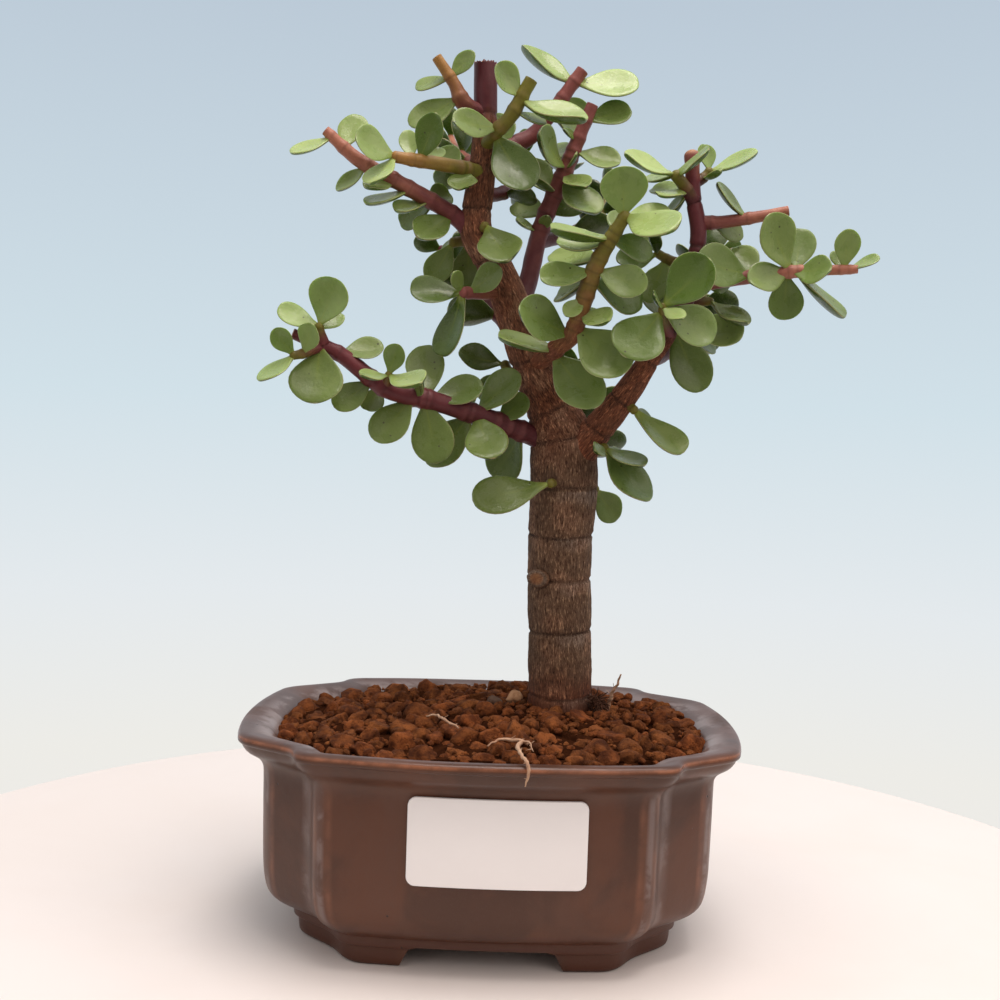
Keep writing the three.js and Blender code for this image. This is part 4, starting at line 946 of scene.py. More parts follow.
def settle_piece(bm: BMesh, name: str, material: Material, slot: str, *nodes: str) -> Object:
    """Moves a mesh from the pot's frame, in mm, to the row frame and attaches it to the root body.

    Args:
        bm: The mesh, which is freed.
        name: The piece's name.
        material: Its material.
        slot: Not used.
        *nodes: The CAD nodes that it stands for.

    Returns:
        The piece.
    """
    bmesh.ops.recalc_face_normals(bm, faces=bm.faces)
    mesh = make_mesh(bm, name)
    mesh.transform(Matrix.Translation(POT_CENTRE) @ Matrix.Scale(MM, 4))
    mesh.shade_smooth()
    mesh.materials.append(material)
    piece = add_object(name, mesh)
    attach(piece, BODY)
    if nodes:
        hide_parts(*nodes)
    LOG.info("%s: %d points", name, len(mesh.vertices))
    return piece


def roll_grid(bm: BMesh, columns: int, rows: int, settle: Callable[[BMVert, int, int], None]) -> None:
    """Rolls a grid into a form, joins its long edges and closes its two ends.

    Args:
        bm: The mesh that it is made in.
        columns: How many points go round it.
        rows: How many steps go along it.
        settle: Puts one point where its row and column say.
    """
    made = bmesh.ops.create_grid(bm, x_segments=columns, y_segments=rows, size=1.0)
    for vert in made["verts"]:
        row = round((vert.co.y + 1) * 0.5 * rows)
        settle(vert, row, round((vert.co.x + 1) * 0.5 * columns) % columns)
    bmesh.ops.remove_doubles(bm, verts=made["verts"], dist=WELD)
    bmesh.ops.holes_fill(bm, edges=[edge for edge in bm.edges if edge.is_boundary], sides=0)


def round_edges(bm: BMesh, edges: Sequence[BMEdge], reach: float, steps: int) -> None:
    """Rounds edges over a reach to both sides, in a number of steps."""
    bmesh.ops.bevel(bm, geom=edges, offset=reach, affect="EDGES", segments=steps, profile=0.5, material=-1)


def crease(bm: BMesh, degrees: float) -> None:
    """Leaves the edges that turn more than an angle sharp in a smooth mesh."""
    limit = radians(degrees)
    for edge in bm.edges:
        if len(edge.link_faces) == 2 and edge.calc_face_angle(0.0) > limit:
            edge.smooth = False


def ring_noise(angle: float, girth: float, along: float) -> float:
    """A noise that closes on itself round a stem."""
    return noise.noise((cos(angle) * girth, sin(angle) * girth, along))


def between(first: Colour, second: Colour, share: float) -> Colour:
    """A colour part of the way from one to another."""
    share = min(1.0, max(0.0, share))
    return tuple(a + (b - a) * share for a, b in zip(first, second))


def ease(value: float, low: float, high: float) -> float:
    """A smooth step from 0 at one value to 1 at another."""
    share = min(1.0, max(0.0, (value - low) / (high - low)))
    return share * share * (3 - 2 * share)


def hump(distance: float, reach: float) -> float:
    """A bell of height 1 that falls off over a reach."""
    return exp(-((distance / reach) ** 2))


@dataclass
class SkinPoint:
    """What one point of a stem's skin has: radius, colour, and how much it is bark, ring or stain."""

    radius: float
    colour: Colour
    bark: float = 0.0
    ring: float = 0.0
    stain: float = 0.0


class Frames:
    """Two directions across a line at every step of it, which never twist about the line."""

    def __init__(self, line: FlowLine, runs: Sequence[float], first: Point) -> None:
        self.centres = []
        self.pairs = []
        side = np.array(first, float)
        for run in runs:
            place = min(1.0, max(0.0, run / line.length))
            self.centres.append(line.along(place)[0])
            heading = line.heading(place, 0.8)
            side = unit(side - heading * float(side @ heading))
            self.pairs.append((side, np.cross(heading, side)))

    def out(self, row: int, angle: float) -> np.ndarray:
        """The direction away from the line at a step and an angle."""
        side, over = self.pairs[row]
        return side * cos(angle) + over * sin(angle)


class Sleeve:
    """A mesh of closed sleeves along lines, which holds what the wood's material reads at each point."""

    def __init__(self) -> None:
        self.bm = bmesh.new()
        layers = self.bm.verts.layers
        self.skin = layers.float_color.new("skin")
        self.nature = layers.float_vector.new("nature")
        self.grain = layers.float_vector.new("grain")

    def wrap(self, line: FlowLine, runs: Sequence[float], sides: int, first: Point,
            skin: Callable[[float, float], SkinPoint]) -> None:
        """Wraps one sleeve round a line and closes both its ends.

        Args:
            line: The line, in mm.
            runs: How far along the line each ring of points is.
            sides: How many points a ring has.
            first: The direction that the first point of a ring looks in.
            skin: What the skin is like at a run and an angle.
        """
        frames = Frames(line, runs, first)

        def settle(vert: BMVert, row: int, step: int) -> None:
            """Puts one point of the skin where it belongs and marks what it is like."""
            angle = 2 * pi * step / sides
            point = skin(runs[row], angle)
            vert.co = Vector(frames.centres[row] + frames.out(row, angle) * point.radius)
            vert[self.skin] = (*point.colour, 1.0)
            vert[self.nature] = (point.bark, point.ring, point.stain)
            girth = max(point.radius, 0.8)
            vert[self.grain] = (cos(angle) * girth, sin(angle) * girth, runs[row])

        roll_grid(self.bm, sides, len(runs) - 1, settle)


def ring_runs(line: FlowLine, heights: Sequence[float]) -> list[float]:
    """How far along a rising line each of some heights is reached."""
    return [float(np.interp(height, line.points[:, 2], line.runs)) for height in heights]


def even_runs(length: float, step: float) -> list[float]:
    """Runs from 0 to a length, at even steps near the one asked for."""
    count = max(2, round(length / step))
    return [length * number / count for number in range(count + 1)]


@dataclass
class Bole:
    """The trunk with its leader, and the right limb: ringed segments of ridged bark, in mm."""

    palette: Palette
    sides: int = 120
    row_step: float = 0.72
    limb_sides: int = 72
    limb_step: float = 0.6
    bulge: float = 0.38
    groove: float = 0.5
    lip: float = 0.16
    ridge: float = 0.3
    ridge_width: float = 0.62
    ridge_length: float = 4.2
    smooth_from: float = 250.0
    limb_smooth_from: float = 187.0
    top: float = 270.0
    dome: float = 1.9
    sawn_rings: tuple[tuple[float, Skin], ...] = ((0.9, Skin.CUT), (0.72, Skin.CUT), (0.42, Skin.PITH),
        (0.12, Skin.PITH))
    knob_size: Point = (3.8, 3.0, 2.0)
    knob_shift: Point = (-0.5, -0.4, 0.3)
    knob_facing: Point = (-0.42, -0.9, 0.05)
    pale_bark: Colour = (0.36, 0.27, 0.21)
    fork_bark: Colour = (0.19, 0.068, 0.03)
    worn_bark: Colour = (0.44, 0.225, 0.13)
    old_wood: Colour = (0.2, 0.075, 0.028)
    dry_wood: Colour = (0.28, 0.125, 0.05)
    healed_lip: Colour = (0.22, 0.15, 0.105)

    def build(self) -> None:
        """Builds the trunk, the limb, the old wound and the sawn top."""
        self.build_trunk()
        self.build_limb()
        self.build_wound()

    def build_trunk(self) -> None:
        """The trunk from under the soil to the sawn end of its leader."""
        line = FlowLine(TRUNK_PATH, TRUNK_RADII, 24)
        rings = ring_runs(line, TRUNK_RINGS)
        runs = even_runs(line.length, self.row_step)
        ends = [line.length + CUT_STEP * step for step in (1, 2, 3, 4)]
        heights = {run: line.height_at(run) for run in runs}
        heights.update({end: self.top for end in ends})

        def skin(run: float, angle: float) -> SkinPoint:
            """The trunk's skin at a run and an angle, or the sawn face past the line's end."""
            height = heights[run]
            radius = line.radius_at(run)
            if run > line.length:
                share, colour = self.sawn_rings[round((run - line.length) / CUT_STEP) - 1]
                return SkinPoint(radius * share, colour.value, 0.5)
            bark = 1 - ease(height + ring_noise(angle, 2, 7) * 3, self.smooth_from, self.smooth_from + 5)
            ring, relief = self.relief(rings, run, angle, radius, bark)
            colour = self.trunk_colour(height, angle, run)
            return SkinPoint(radius + relief, colour, bark, ring, self.stain(height, angle))

        sleeve = Sleeve()
        sleeve.wrap(line, runs + ends, self.sides, (1, 0, 0), skin)
        self.tear_top(sleeve)
        settle_piece(sleeve.bm, "trunk_bark", self.palette.wood, "bark", "trunk")

    def tear_top(self, sleeve: Sleeve) -> None:
        """Roughens the sawn end, which dried and split."""
        for vert in sleeve.bm.verts:
            if vert.co.z > self.top - 0.2:
                split = noise.noise(vert.co * 1.3) * 0.9 + noise.noise(vert.co * 3.1) * 0.5
                vert.co.z += split - 0.35

    def build_limb(self) -> None:
        """The limb that leaves the trunk to the right and rises to a rounded, healed tip."""
        line = FlowLine(LIMB_PATH, LIMB_RADII, 24)
        rings = ring_runs(line, LIMB_RINGS)
        runs = even_runs(line.length, self.limb_step)
        crown = [line.length + self.dome * sin(step * pi / 10) for step in range(1, 6)]
        heights = {run: line.height_at(run) for run in runs + crown}

        def skin(run: float, angle: float) -> SkinPoint:
            """The limb's skin at a run and an angle, or the dome past the line's end."""
            height = heights[run]
            radius = line.radius_at(min(run, line.length))
            swell = 1 + 0.22 * hump(run - line.length, 2.6)
            if run > line.length:
                over = min(1.0, (run - line.length) / self.dome)
                return SkinPoint(max(0.15, radius * swell * sqrt(max(0.0, 1 - over * over))),
                    between(Skin.ROSE.value, Skin.CUT.value, over), 0.1)
            bark = 1 - ease(height + ring_noise(angle, 1, 3) * 4, self.limb_smooth_from - 4,
                self.limb_smooth_from + 4)
            ring, relief = self.relief(rings, run, angle, radius, bark)
            colour = between(Skin.RED_BARK.value, Skin.PLUM.value, ease(height, 176, 192))
            colour = between(colour, Skin.WINE.value, ease(height, 205, 222) * 0.8)
            colour = between(colour, Skin.ROSE.value, ease(height, 232, 240))
            return SkinPoint(radius * swell + relief, colour, bark, ring)

        sleeve = Sleeve()
        sleeve.wrap(line, runs + crown, self.limb_sides, (0, -1, 0), skin)
        heading = line.heading(1.0, 1.2)
        for vert in sleeve.bm.verts:
            vert.co += Vector(heading * max(0.0, vert[sleeve.grain].z - line.length))
        settle_piece(sleeve.bm, "right_limb", self.palette.wood, "bark", "trunk")

    def build_wound(self) -> None:
        """The oval scar of a pruned branch, with a healed lip round bare wood."""
        sleeve = Sleeve()
        made = bmesh.ops.create_uvsphere(sleeve.bm, u_segments=28, v_segments=16, radius=1.0)
        centre = Vector(KNOB_AT) + Vector(self.knob_shift)
        turn = Vector(self.knob_facing).normalized().to_track_quat("Z", "Y").to_matrix()
        wide, tall, deep = self.knob_size
        for vert in made["verts"]:
            out = hypot(vert.co.x, vert.co.y)
            ragged = 1 + 0.08 * noise.noise(vert.co * 3)
            place = Vector((vert.co.x * wide * ragged, vert.co.y * tall * ragged, vert.co.z * deep))
            if vert.co.z > 0:
                place.z -= 0.62 * hump(out, 0.62)
            lip = hump(out - 0.78, 0.2) * (vert.co.z > 0)
            wood = between(self.old_wood, self.dry_wood, 0.5 + noise.noise(vert.co * 5))
            vert[sleeve.skin] = (*between(wood, self.healed_lip, lip), 1.0)
            vert[sleeve.nature] = (0.35 + 0.5 * lip, 0.5 * hump(out - 1.0, 0.08), 0.0)
            vert[sleeve.grain] = place
            vert.co = centre + turn @ place
        settle_piece(sleeve.bm, "pruned_knob", self.palette.wood, "bark", "trunk")

    def relief(self, rings: Sequence[float], run: float, angle: float, radius: float,
            bark: float) -> tuple[float, float]:
        """How dark a ring is at a point, and how far the point stands out of the plain skin.

        Args:
            rings: Where the rings are along the line.
            run: How far along the line the point is.
            angle: The point's angle about the line.
            radius: The plain skin's radius.
            bark: How much of the skin is bark.

        Returns:
            The ring's darkness and the height over the plain skin, in mm.
        """
        nearest = min(range(len(rings)), key=lambda number: abs(rings[number] - run))
        lean = 0.09 * sin(angle + nearest * 2.3) + 0.05 * sin(2 * angle + nearest)
        gap = run - rings[nearest] - lean * radius * 0.6 - 0.18 * ring_noise(angle, 4, nearest)
        above = [ring for ring in rings if ring > run]
        below = [ring for ring in rings if ring <= run]
        belly = 0.6
        if above and below:
            belly = sin(pi * (run - below[-1]) / (above[0] - below[-1])) ** 0.5
        size = min(1.0, radius / 9)
        x, y = cos(angle) * radius, sin(angle) * radius
        across = Vector((x / self.ridge_width, y / self.ridge_width, run / self.ridge_length))
        ridges = 0.62 * noise.noise(across) + 0.38 * noise.noise(across * 2.3)
        height = self.bulge * size * (belly - 0.6) + 0.3 * size * noise.noise((x / 5, y / 5, run / 8))
        height += self.ridge * bark * size * ridges
        height += self.lip * size * (hump(gap - 1.1, 0.7) + 0.6 * hump(gap + 1.2, 0.7))
        height -= self.groove * (0.45 + 0.55 * size) * hump(gap, 0.42)
        return hump(gap, 0.36), height

    def trunk_colour(self, height: float, angle: float, run: float) -> Colour:
        """The bark's colour: reddish at the foot, grey-brown along the trunk with painted light in pale
        bands under the rings on its right side, redder above the fork.
        """
        drift = 2.5 * ring_noise(angle, 2, run / 9)
        fork = ease(height, 135, 165)
        colour = between(Skin.FOOT.value, Skin.BARK.value, ease(height + drift, 67, 84))
        above = min((ring - height for ring in TRUNK_RINGS if ring > height), default=99.0)
        # Painted light: pale bands just under each ring, on the right side, towards the key light.
        pale = (1 - ease(above - drift, 0.8, 5.5)) * ease(cos(angle) + 0.5, 0, 1) * (1 - fork)
        colour = between(colour, self.pale_bark, 0.5 * pale)
        colour = between(colour, Skin.RED_BARK.value, ease(height + 3 * drift, 140, 166) * 0.8)
        colour = between(colour, self.fork_bark, hump(height - 166.5, 3.5) * 0.7)
        worn = ease(ring_noise(angle, 1.4, run / 7 + 3), 0.0, 0.45)
        colour = between(colour, self.worn_bark, (0.3 + 0.35 * fork) * worn)
        return between(colour, Skin.PLUM.value, ease(height + drift, 248, 256))

    @staticmethod
    def stain(height: float, angle: float) -> float:
        """How much wet soil has stained the bark."""
        return 0.65 * (1 - ease(height + 3 * ring_noise(angle, 3, 1.5), 65, 74))


def joint_runs(entry: GrownShoot, line: FlowLine) -> list[float]:
    """How far along its line the shoot has leaves, one run for each pair."""
    runs: list[float] = []
    for leaf in entry.leaves:
        run = float(line.runs[int(np.argmin(np.linalg.norm(line.points - leaf.base, axis=1)))])
        if all(abs(run - other) > 1.6 for other in runs):
            runs.append(run)
    return runs


@dataclass
class SprayMaker:
    """Dresses the shoots and their leaves, in mm."""

    palette: Palette
    stem_sides: int = 14
    stem_step: float = 0.55
    leaf_round: int = 12
    leaf_rows: int = 8
    neck: float = 0.85
    fullness: float = 1.15
    fold: float = 0.5
    tip_length: float = 1.3
    seed: int = 41

    def build(self, shoots: list[GrownShoot]) -> None:
        """Builds every spray's leaves and stems.

        Args:
            shoots: The grown shoots, in the order of their sprays.
        """
        chance = Random(self.seed)
        for spray in dict.fromkeys(entry.shoot.spray for entry in shoots):
            own = [entry for entry in shoots if entry.shoot.spray == spray]
            self.build_leaves(spray, own, chance)
            self.build_stems(spray, own, chance)

    def build_stems(self, spray: str, own: list[GrownShoot], chance: Random) -> None:
        """One spray's stems as one piece."""
        sleeve = Sleeve()
        for entry in own:
            self.wrap_stem(sleeve, entry, chance.random() * 40)
        settle_piece(sleeve.bm, spray + "_stem", self.palette.wood, "bark", spray)

    def wrap_stem(self, sleeve: Sleeve, entry: GrownShoot, drift: float) -> None:
        """One shoot: swollen joints where leaves grow, and a sawn or a living tip."""
        shoot = entry.shoot
        line = FlowLine(shoot.path, shoot.radii, 16)
        length = line.length
        joints = joint_runs(entry, line)
        runs = even_runs(length - (0.0 if shoot.sawn else self.tip_length), self.stem_step)
        if shoot.sawn:
            ends = [length + CUT_STEP * step for step in (1, 2, 3)]
        else:
            ends = [length - self.tip_length * (1 - sin(step * pi / 8)) for step in (1, 2, 3, 4)]
        barky = {Skin.RED_BARK: 0.75, Skin.BARK: 0.8, Skin.WINE: 0.12, Skin.PLUM: 0.12}.get(shoot.foot, 0.05)

        def skin(run: float, angle: float) -> SkinPoint:
            """The shoot's skin at a run and an angle, or its tip."""
            share = run / length
            gap = min((run - joint for joint in joints), key=abs, default=99.0)
            swell = 1 + 0.13 * hump(gap, 1.1) + 0.1 * hump(run, 2.0)
            soft = 0.05 * ring_noise(angle, 1.5, run / 3 + drift)
            radius = line.radius_at(run) * (swell + soft) - 0.09 * hump(gap + 0.5, 0.3)
            hue = share + 0.25 * ring_noise(angle, 1, run / 5 + drift)
            colour = between(shoot.foot.value, shoot.tip.value, ease(hue, 0.05, 0.95))
            colour = between(colour, Skin.ROSE.value, 0.35 * hump(gap - 1.0, 1.0) * (1 - share))
            bark = barky * (1 - ease(share, 0.15, 0.6))
            if run > length - CUT_STEP / 2 and shoot.sawn:
                number = min(3, round((run - length) / CUT_STEP))
                tints = (colour, Skin.CUT.value, Skin.CUT.value, Skin.PITH.value)
                return SkinPoint(radius * (1.0, 0.86, 0.5, 0.14)[number], tints[number], 0.3)
            if run > length - self.tip_length and not shoot.sawn:
                over = (run - length + self.tip_length) / self.tip_length
                radius = max(0.1, radius * sqrt(max(0.0, 1 - over * over)))
            return SkinPoint(radius, colour, bark, 0.45 * hump(gap + 0.5, 0.22))

        sleeve.wrap(line, runs + ends, self.stem_sides, (0.3, -0.9, 0.1), skin)

    def build_leaves(self, spray: str, own: list[GrownShoot], chance: Random) -> None:
        """One spray's leaves as one piece, smoothed by a subdivision."""
        bm = bmesh.new()
        for name in ("blade", "growth"):
            bm.verts.layers.float_vector.new(name)
        for entry in own:
            for leaf in entry.leaves:
                # Painted shade: the less a leaf's face looks up to the sky, the more dark tint it gets; the
                # other half of the tint is random tone.
                painted_shade_by_tilt = 1 - ease(float(leaf.normal[2]), 0.35, 0.88)
                tint = 0.5 * painted_shade_by_tilt + 0.5 * chance.random() ** 1.3
                worn = min(1.0, max(0.0, chance.random() * 1.3 - leaf.youth))
                self.add_leaf(bm, leaf, chance, tint, worn)
        if not bm.verts:
            bm.free()
            return
        piece = settle_piece(bm, spray + "_leaves", self.palette.leaf, "leaf", spray)
        smoother = piece.modifiers.new("smooth", "SUBSURF")
        smoother.levels = smoother.render_levels = 1

    def add_leaf(self, bm: BMesh, leaf: Leaf, chance: Random, tint: float, worn: float) -> None:
        """One fleshy leaf, from a ball drawn out along the blade and pressed flat."""
        blade, growth = (bm.verts.layers.float_vector[name] for name in ("blade", "growth"))
        wave = chance.uniform(-0.05, 0.05)
        twist = chance.uniform(-0.16, 0.16)
        phase = chance.uniform(0, 6.28)
        point = chance.choice((0.0, 0.0, 0.25, 0.6))
        fold = self.fold * chance.uniform(0.1, 0.6 + 0.4 * leaf.youth)
        made = bmesh.ops.create_uvsphere(bm, u_segments=self.leaf_round, v_segments=self.leaf_rows,
            radius=1.0)
        half_thick = leaf.thick * 0.46
        for vert in made["verts"]:
            place = (1 - vert.co.z) * 0.5
            ring = hypot(vert.co.x, vert.co.y)
            side = vert.co.x / ring if ring > 1e-6 else 0.0
            level = vert.co.y / ring if ring > 1e-6 else 0.0
            share = float(blade_share(min(place, 0.985)))
            half = max(self.neck * (1 - 0.4 * place), share * leaf.width * 0.5)
            if place > 0.62:
                half *= 1 - point * 0.22 * ease(place, 0.7, 1.0)
            if self.at_pole(place):
                half = 0.0
            depth = copysign(abs(level) ** self.fullness, level) * self.depth_at(place, half_thick)
            bow = float(leaf.rise(np.array(place), np.array(side)))
            bow += wave * leaf.length * sin(5.5 * place + phase) * side
            bow += sin(twist) * half * side * place
            bow += fold * half * (abs(side) ** 1.3 - 0.5) * ease(place, 0.05, 0.4)
            along = place * leaf.length * (1.015 + 0.03 * point * ease(place, 0.93, 1.0))
            spot = leaf.base + leaf.axis * along + leaf.across * (half * side) + leaf.normal * (bow + depth)
            vert.co = Vector(spot)
            vert[blade] = (place, abs(side), level * 0.5 + 0.5)
            vert[growth] = (leaf.youth, tint, worn)

    @staticmethod
    def at_pole(place: float) -> bool:
        """Whether a place is right at the leaf's base or tip."""
        return place < 1e-4 or place > 1 - 1e-4

    def depth_at(self, place: float, half_thick: float) -> float:
        """Half the leaf's thickness at a place: a round neck, a full blade and a blunt tip."""
        if self.at_pole(place):
            return 0.0
        body = 0.75 + 0.25 * sin(pi * min(1.0, place / 0.8) * 0.5)
        end = sqrt(max(0.0, 1 - ease(place, 0.86, 1.04) ** 2))
        return max(self.neck * 0.75 * (1 - ease(place, 0.1, 0.3)), half_thick * body * end)


def cut_corners(points: Sequence[Spot], times: int) -> list[Spot]:
    """A line of points with its corners rounded off, its two ends kept."""
    line = list(points)
    for _ in range(times):
        cut = [line[0]]
        for (a, b), (c, d) in zip(line, line[1:]):
            cut += [(a * 0.75 + c * 0.25, b * 0.75 + d * 0.25), (a * 0.25 + c * 0.75, b * 0.25 + d * 0.75)]
        line = cut + [line[-1]]
    return line


@dataclass(frozen=True)
class OutlinePoint:
    """A point of the pot's outline, and how sharply the outline turns there: outwards 1, inwards -1."""

    x: float
    y: float
    turn: float = 0.0


@dataclass(frozen=True)
class Plan:
    """The pot's size at one height, in mm: half width and depth, and where the turns of a corner are."""

    size: Spot
    side_corner: Spot
    step: Spot
    front_corner: Spot

    def grown(self, rim: "Plan", share: float) -> "Plan":
        """A plan part of the way from this one to the rim's."""
        pairs = (zip(getattr(self, part.name), getattr(rim, part.name)) for part in fields(self))
        return Plan(*(tuple(low + (high - low) * share for low, high in pair) for pair in pairs))


@dataclass
class Outline:
    """The pot's outline seen from above: four bowed sides with a stepped corner between each two.

    It grows from the feet's size at offset 0 to the rim's at the flare's offset.
    """

    feet: Plan = Plan((59.0, 43.7), (56.2, 22.0), (44.5, 32.5), (39.0, 41.6))
    rim: Plan = Plan((RIM_WIDTH / 2, RIM_DEPTH / 2), (72.7, 36.5), (54.9, 48.2), (53.0, 55.2))
    flare: float = 16.5
    corner_reach: float = 5.0
    step_reach: float = 3.2
    bow_places: tuple[float, ...] = (0.06, 0.18, 0.3, 0.42, 0.54, 0.65, 0.75)
    turn_steps: int = 7
    slope_steps: int = 4

    def quarter(self, offset: float) -> list[OutlinePoint]:
        """The right back quarter: the side, its corner, the step, the back's corner and the back."""
        plan = self.feet.grown(self.rim, offset / self.flare)
        (half_width, half_depth), (side_x, side_y) = plan.size, plan.side_corner
        back_x, back_y = plan.front_corner
        side = [(side_x + (half_width - side_x) * (1 - place * place), side_y * place)
            for place in self.bow_places]
        back = [(back_x * place, back_y + (half_depth - back_y) * (1 - place * place))
            for place in reversed(self.bow_places)]
        corners = [side[-1], plan.side_corner, plan.step, plan.front_corner, back[0]]
        turns = ((0, self.corner_reach, 1), (1, self.step_reach, -1), (2, self.corner_reach, 1))
        outer, inner, last = (self.bend(corners[number:number + 3], reach, way)
            for number, reach, way in turns)
        return ([OutlinePoint(*spot) for spot in side] + outer + self.slope(outer[-1], inner[0])
            + inner + last + [OutlinePoint(*spot) for spot in back])

    def bend(self, corners: Sequence[Spot], reach: float, way: int) -> list[OutlinePoint]:
        """The rounding of the middle one of three corners, from a reach before it to one after it."""
        before, corner, after = (np.array(spot) for spot in corners)
        start, end = (corner + (spot - corner) * min(0.46, reach / float(np.linalg.norm(spot - corner)))
            for spot in (before, after))
        points = []
        for step in range(self.turn_steps + 1):
            share = step / self.turn_steps
            spot = start * (1 - share) ** 2 + corner * (2 * share * (1 - share)) + end * share * share
            points.append(OutlinePoint(float(spot[0]), float(spot[1]), way * sin(pi * share)))
        return points

    def slope(self, start: OutlinePoint, end: OutlinePoint) -> list[OutlinePoint]:
        """Points between two others, without them."""
        shares = [step / self.slope_steps for step in range(1, self.slope_steps)]
        return [OutlinePoint(start.x + (end.x - start.x) * share, start.y + (end.y - start.y) * share)
            for share in shares]

    def loop(self, offset: float) -> list[OutlinePoint]:
        """The whole outline, counter-clockwise, with the same number of points at every offset."""
        right = self.quarter(offset)
        half = right + [OutlinePoint(-point.x, point.y, point.turn) for point in reversed(right)]
        return half + [OutlinePoint(-point.x, -point.y, point.turn) for point in half]

    def holds(self, x: float, y: float, offset: float) -> bool:
        """Whether a place is inside the outline at an offset."""
        corner = self.quarter(offset)
        right = float(np.interp(abs(y), [point.y for point in corner], [point.x for point in corner]))
        return abs(y) < corner[-1].y and abs(x) < right


@dataclass
class Pot:
    """The glazed pot: thrown wall, rounded lip, stepped corners and bracket feet, in mm."""

    palette: Palette
    outline: Outline
    profile: tuple[Spot, ...] = ((-7.5, 6.5), (-7.5, 1.2), (-6.6, 0.0), (-3.0, 0.0), (-1.4, 0.0),
        (-0.5, 0.7), (-0.3, 3.0), (-0.2, 5.2), (-0.1, 5.6), (0.9, 5.9), (1.1, 6.4), (1.2, 8.6), (1.4, 9.1),
        (2.4, 9.6), (4.4, 10.8), (6.4, 12.6), (8.0, 15.0), (8.8, 18.0), (9.25, 21.5), (9.45, 25.0),
        (9.6, 34.0), (9.75, 44.0), (9.8, 49.5), (9.9, 52.2), (10.2, 53.8), (11.0, 55.4), (12.6, 56.8),
        (14.2, 58.0), (15.2, 59.6), (15.5, 60.5), (15.7, 61.0), (16.2, 61.2), (16.55, 61.8), (16.5, 62.9),
        (16.0, 63.6), (14.9, 64.0), (13.2, 63.8), (10.6, 63.2), (8.4, 62.3), (6.7, 60.6), (5.4, 58.2),
        (4.7, 55.0), (4.4, 45.0), (4.2, 26.0), (3.7, 18.0), (2.8, 14.0), (1.0, 12.0))
    gap_front: float = 41.0
    gap_side: float = 17.0
    gap_slope: float = 4.0
    gap_round: float = 2.2
    gap_reach: float = 90.0
    foot_height: float = 6.5
    drain_places: Spot = (-28.0, 28.0)
    drain_radius: float = 6.0

    def build(self) -> None:
        """Builds the pot as one piece."""
        body = add_object("pot_body", self.turn_body())
        cutters = [self.gap_cutter("gap_across", self.gap_front),
            self.gap_cutter("gap_along", self.gap_side), self.drain_cutter()]
        for cutter in cutters:
            cut = body.modifiers.new(cutter.name, "BOOLEAN")
            cut.operation = "DIFFERENCE"
            cut.solver = "EXACT"
            cut.object = cutter
        seen = body.evaluated_get(bpy.context.evaluated_depsgraph_get())
        bm = bmesh.new()
        bm.from_mesh(bpy.data.meshes.new_from_object(seen))
        for spare in (body, *cutters):
            bpy.data.objects.remove(spare)
        crease(bm, SHARP)
        settle_piece(bm, "glazed_pot", self.palette.glaze, "glaze", "pot")

    def turn_body(self) -> Mesh:
        """The pot's wall, from under its feet over the lip and down to its floor."""
        profile = cut_corners(self.profile, 1)
        loops = [self.outline.loop(offset) for offset, _ in profile]
        rows = len(profile) - 1
        bm = bmesh.new()
        glaze = bm.verts.layers.float_vector.new("glaze")

        def settle(vert: BMVert, row: int, column: int) -> None:
            """Puts one point of the wall where it belongs, a little off true at the lip."""
            offset, height = profile[row]
            point = loops[row][column]
            vert.co = Vector((point.x, point.y, height))
            vert[glaze] = self.glaze_at(point, offset, height, row / rows)
            wobble = noise.noise(vert.co * 0.03) * 0.35 + noise.noise(vert.co * 0.11) * 0.1
            vert.co.z += wobble * ease(height, 50, 60) * 0.6

        roll_grid(bm, len(loops[0]), rows, settle)
        bmesh.ops.recalc_face_normals(bm, faces=bm.faces)
        return make_mesh(bm, "pot_body")

    @staticmethod
    def glaze_at(point: OutlinePoint, offset: float, height: float, share: float) -> Point:
        """How thin the glaze is, with a painted highlight along the lip's bead; how much of the pale bloom
        it has, with painted sheen inside the rim and a painted highlight line on each corner's crown; and
        how much it is bare clay.
        """
        inside = ease(share, 0.775, 0.82)
        # The lip's band: rust where the glaze breaks on the bead, and a painted highlight along its crest.
        lip = hump(height - 62.9, 0.5) * ease(offset, 15.9, 16.3)
        wall = (1 - inside) * ease(height, 10, 16) * (1 - ease(height, 50, 58))
        ridge = 0.35 + 0.15 * sin(height * 0.3 + point.x)
        crown = max(0.0, point.turn)
        thin = max(lip, ridge * wall * hump(crown - 0.55, 0.3))
        # A thin painted highlight line on each corner's crown; inside the rim the bloom is partly the
        # glaze's colour, partly painted sheen.
        bloom = max(inside, 0.6 * wall * hump(crown - 1.0, 0.07), 0.35 * wall * max(0.0, -point.turn))
        return (thin, bloom, (1 - ease(height, 9.0, 14.5)) * (1 - inside))

    def gap_cutter(self, name: str, width: float) -> Object:
        """A long wedge that leaves a gap with sloped, rounded ends between two feet."""
        bm = bmesh.new()
        for vert in bmesh.ops.create_cube(bm, size=2.0)["verts"]:
            low = vert.co.z < 0
            vert.co.x *= width / 2 + (self.gap_slope if low else 0.0)
            vert.co.y *= self.gap_reach
            vert.co.z = -1.5 if low else self.foot_height
        high = [edge for edge in bm.edges if all(vert.co.z > 1 for vert in edge.verts)]
        top_edges = [edge for edge in high if abs(edge.verts[0].co.x - edge.verts[1].co.x) < 1]
        round_edges(bm, top_edges, self.gap_round, 5)
        if name == "gap_along":
            bmesh.ops.rotate(bm, verts=bm.verts, cent=(0, 0, 0), matrix=Matrix.Rotation(pi / 2, 3, "Z"))
        bmesh.ops.recalc_face_normals(bm, faces=bm.faces)
        return add_object(name, make_mesh(bm, name))

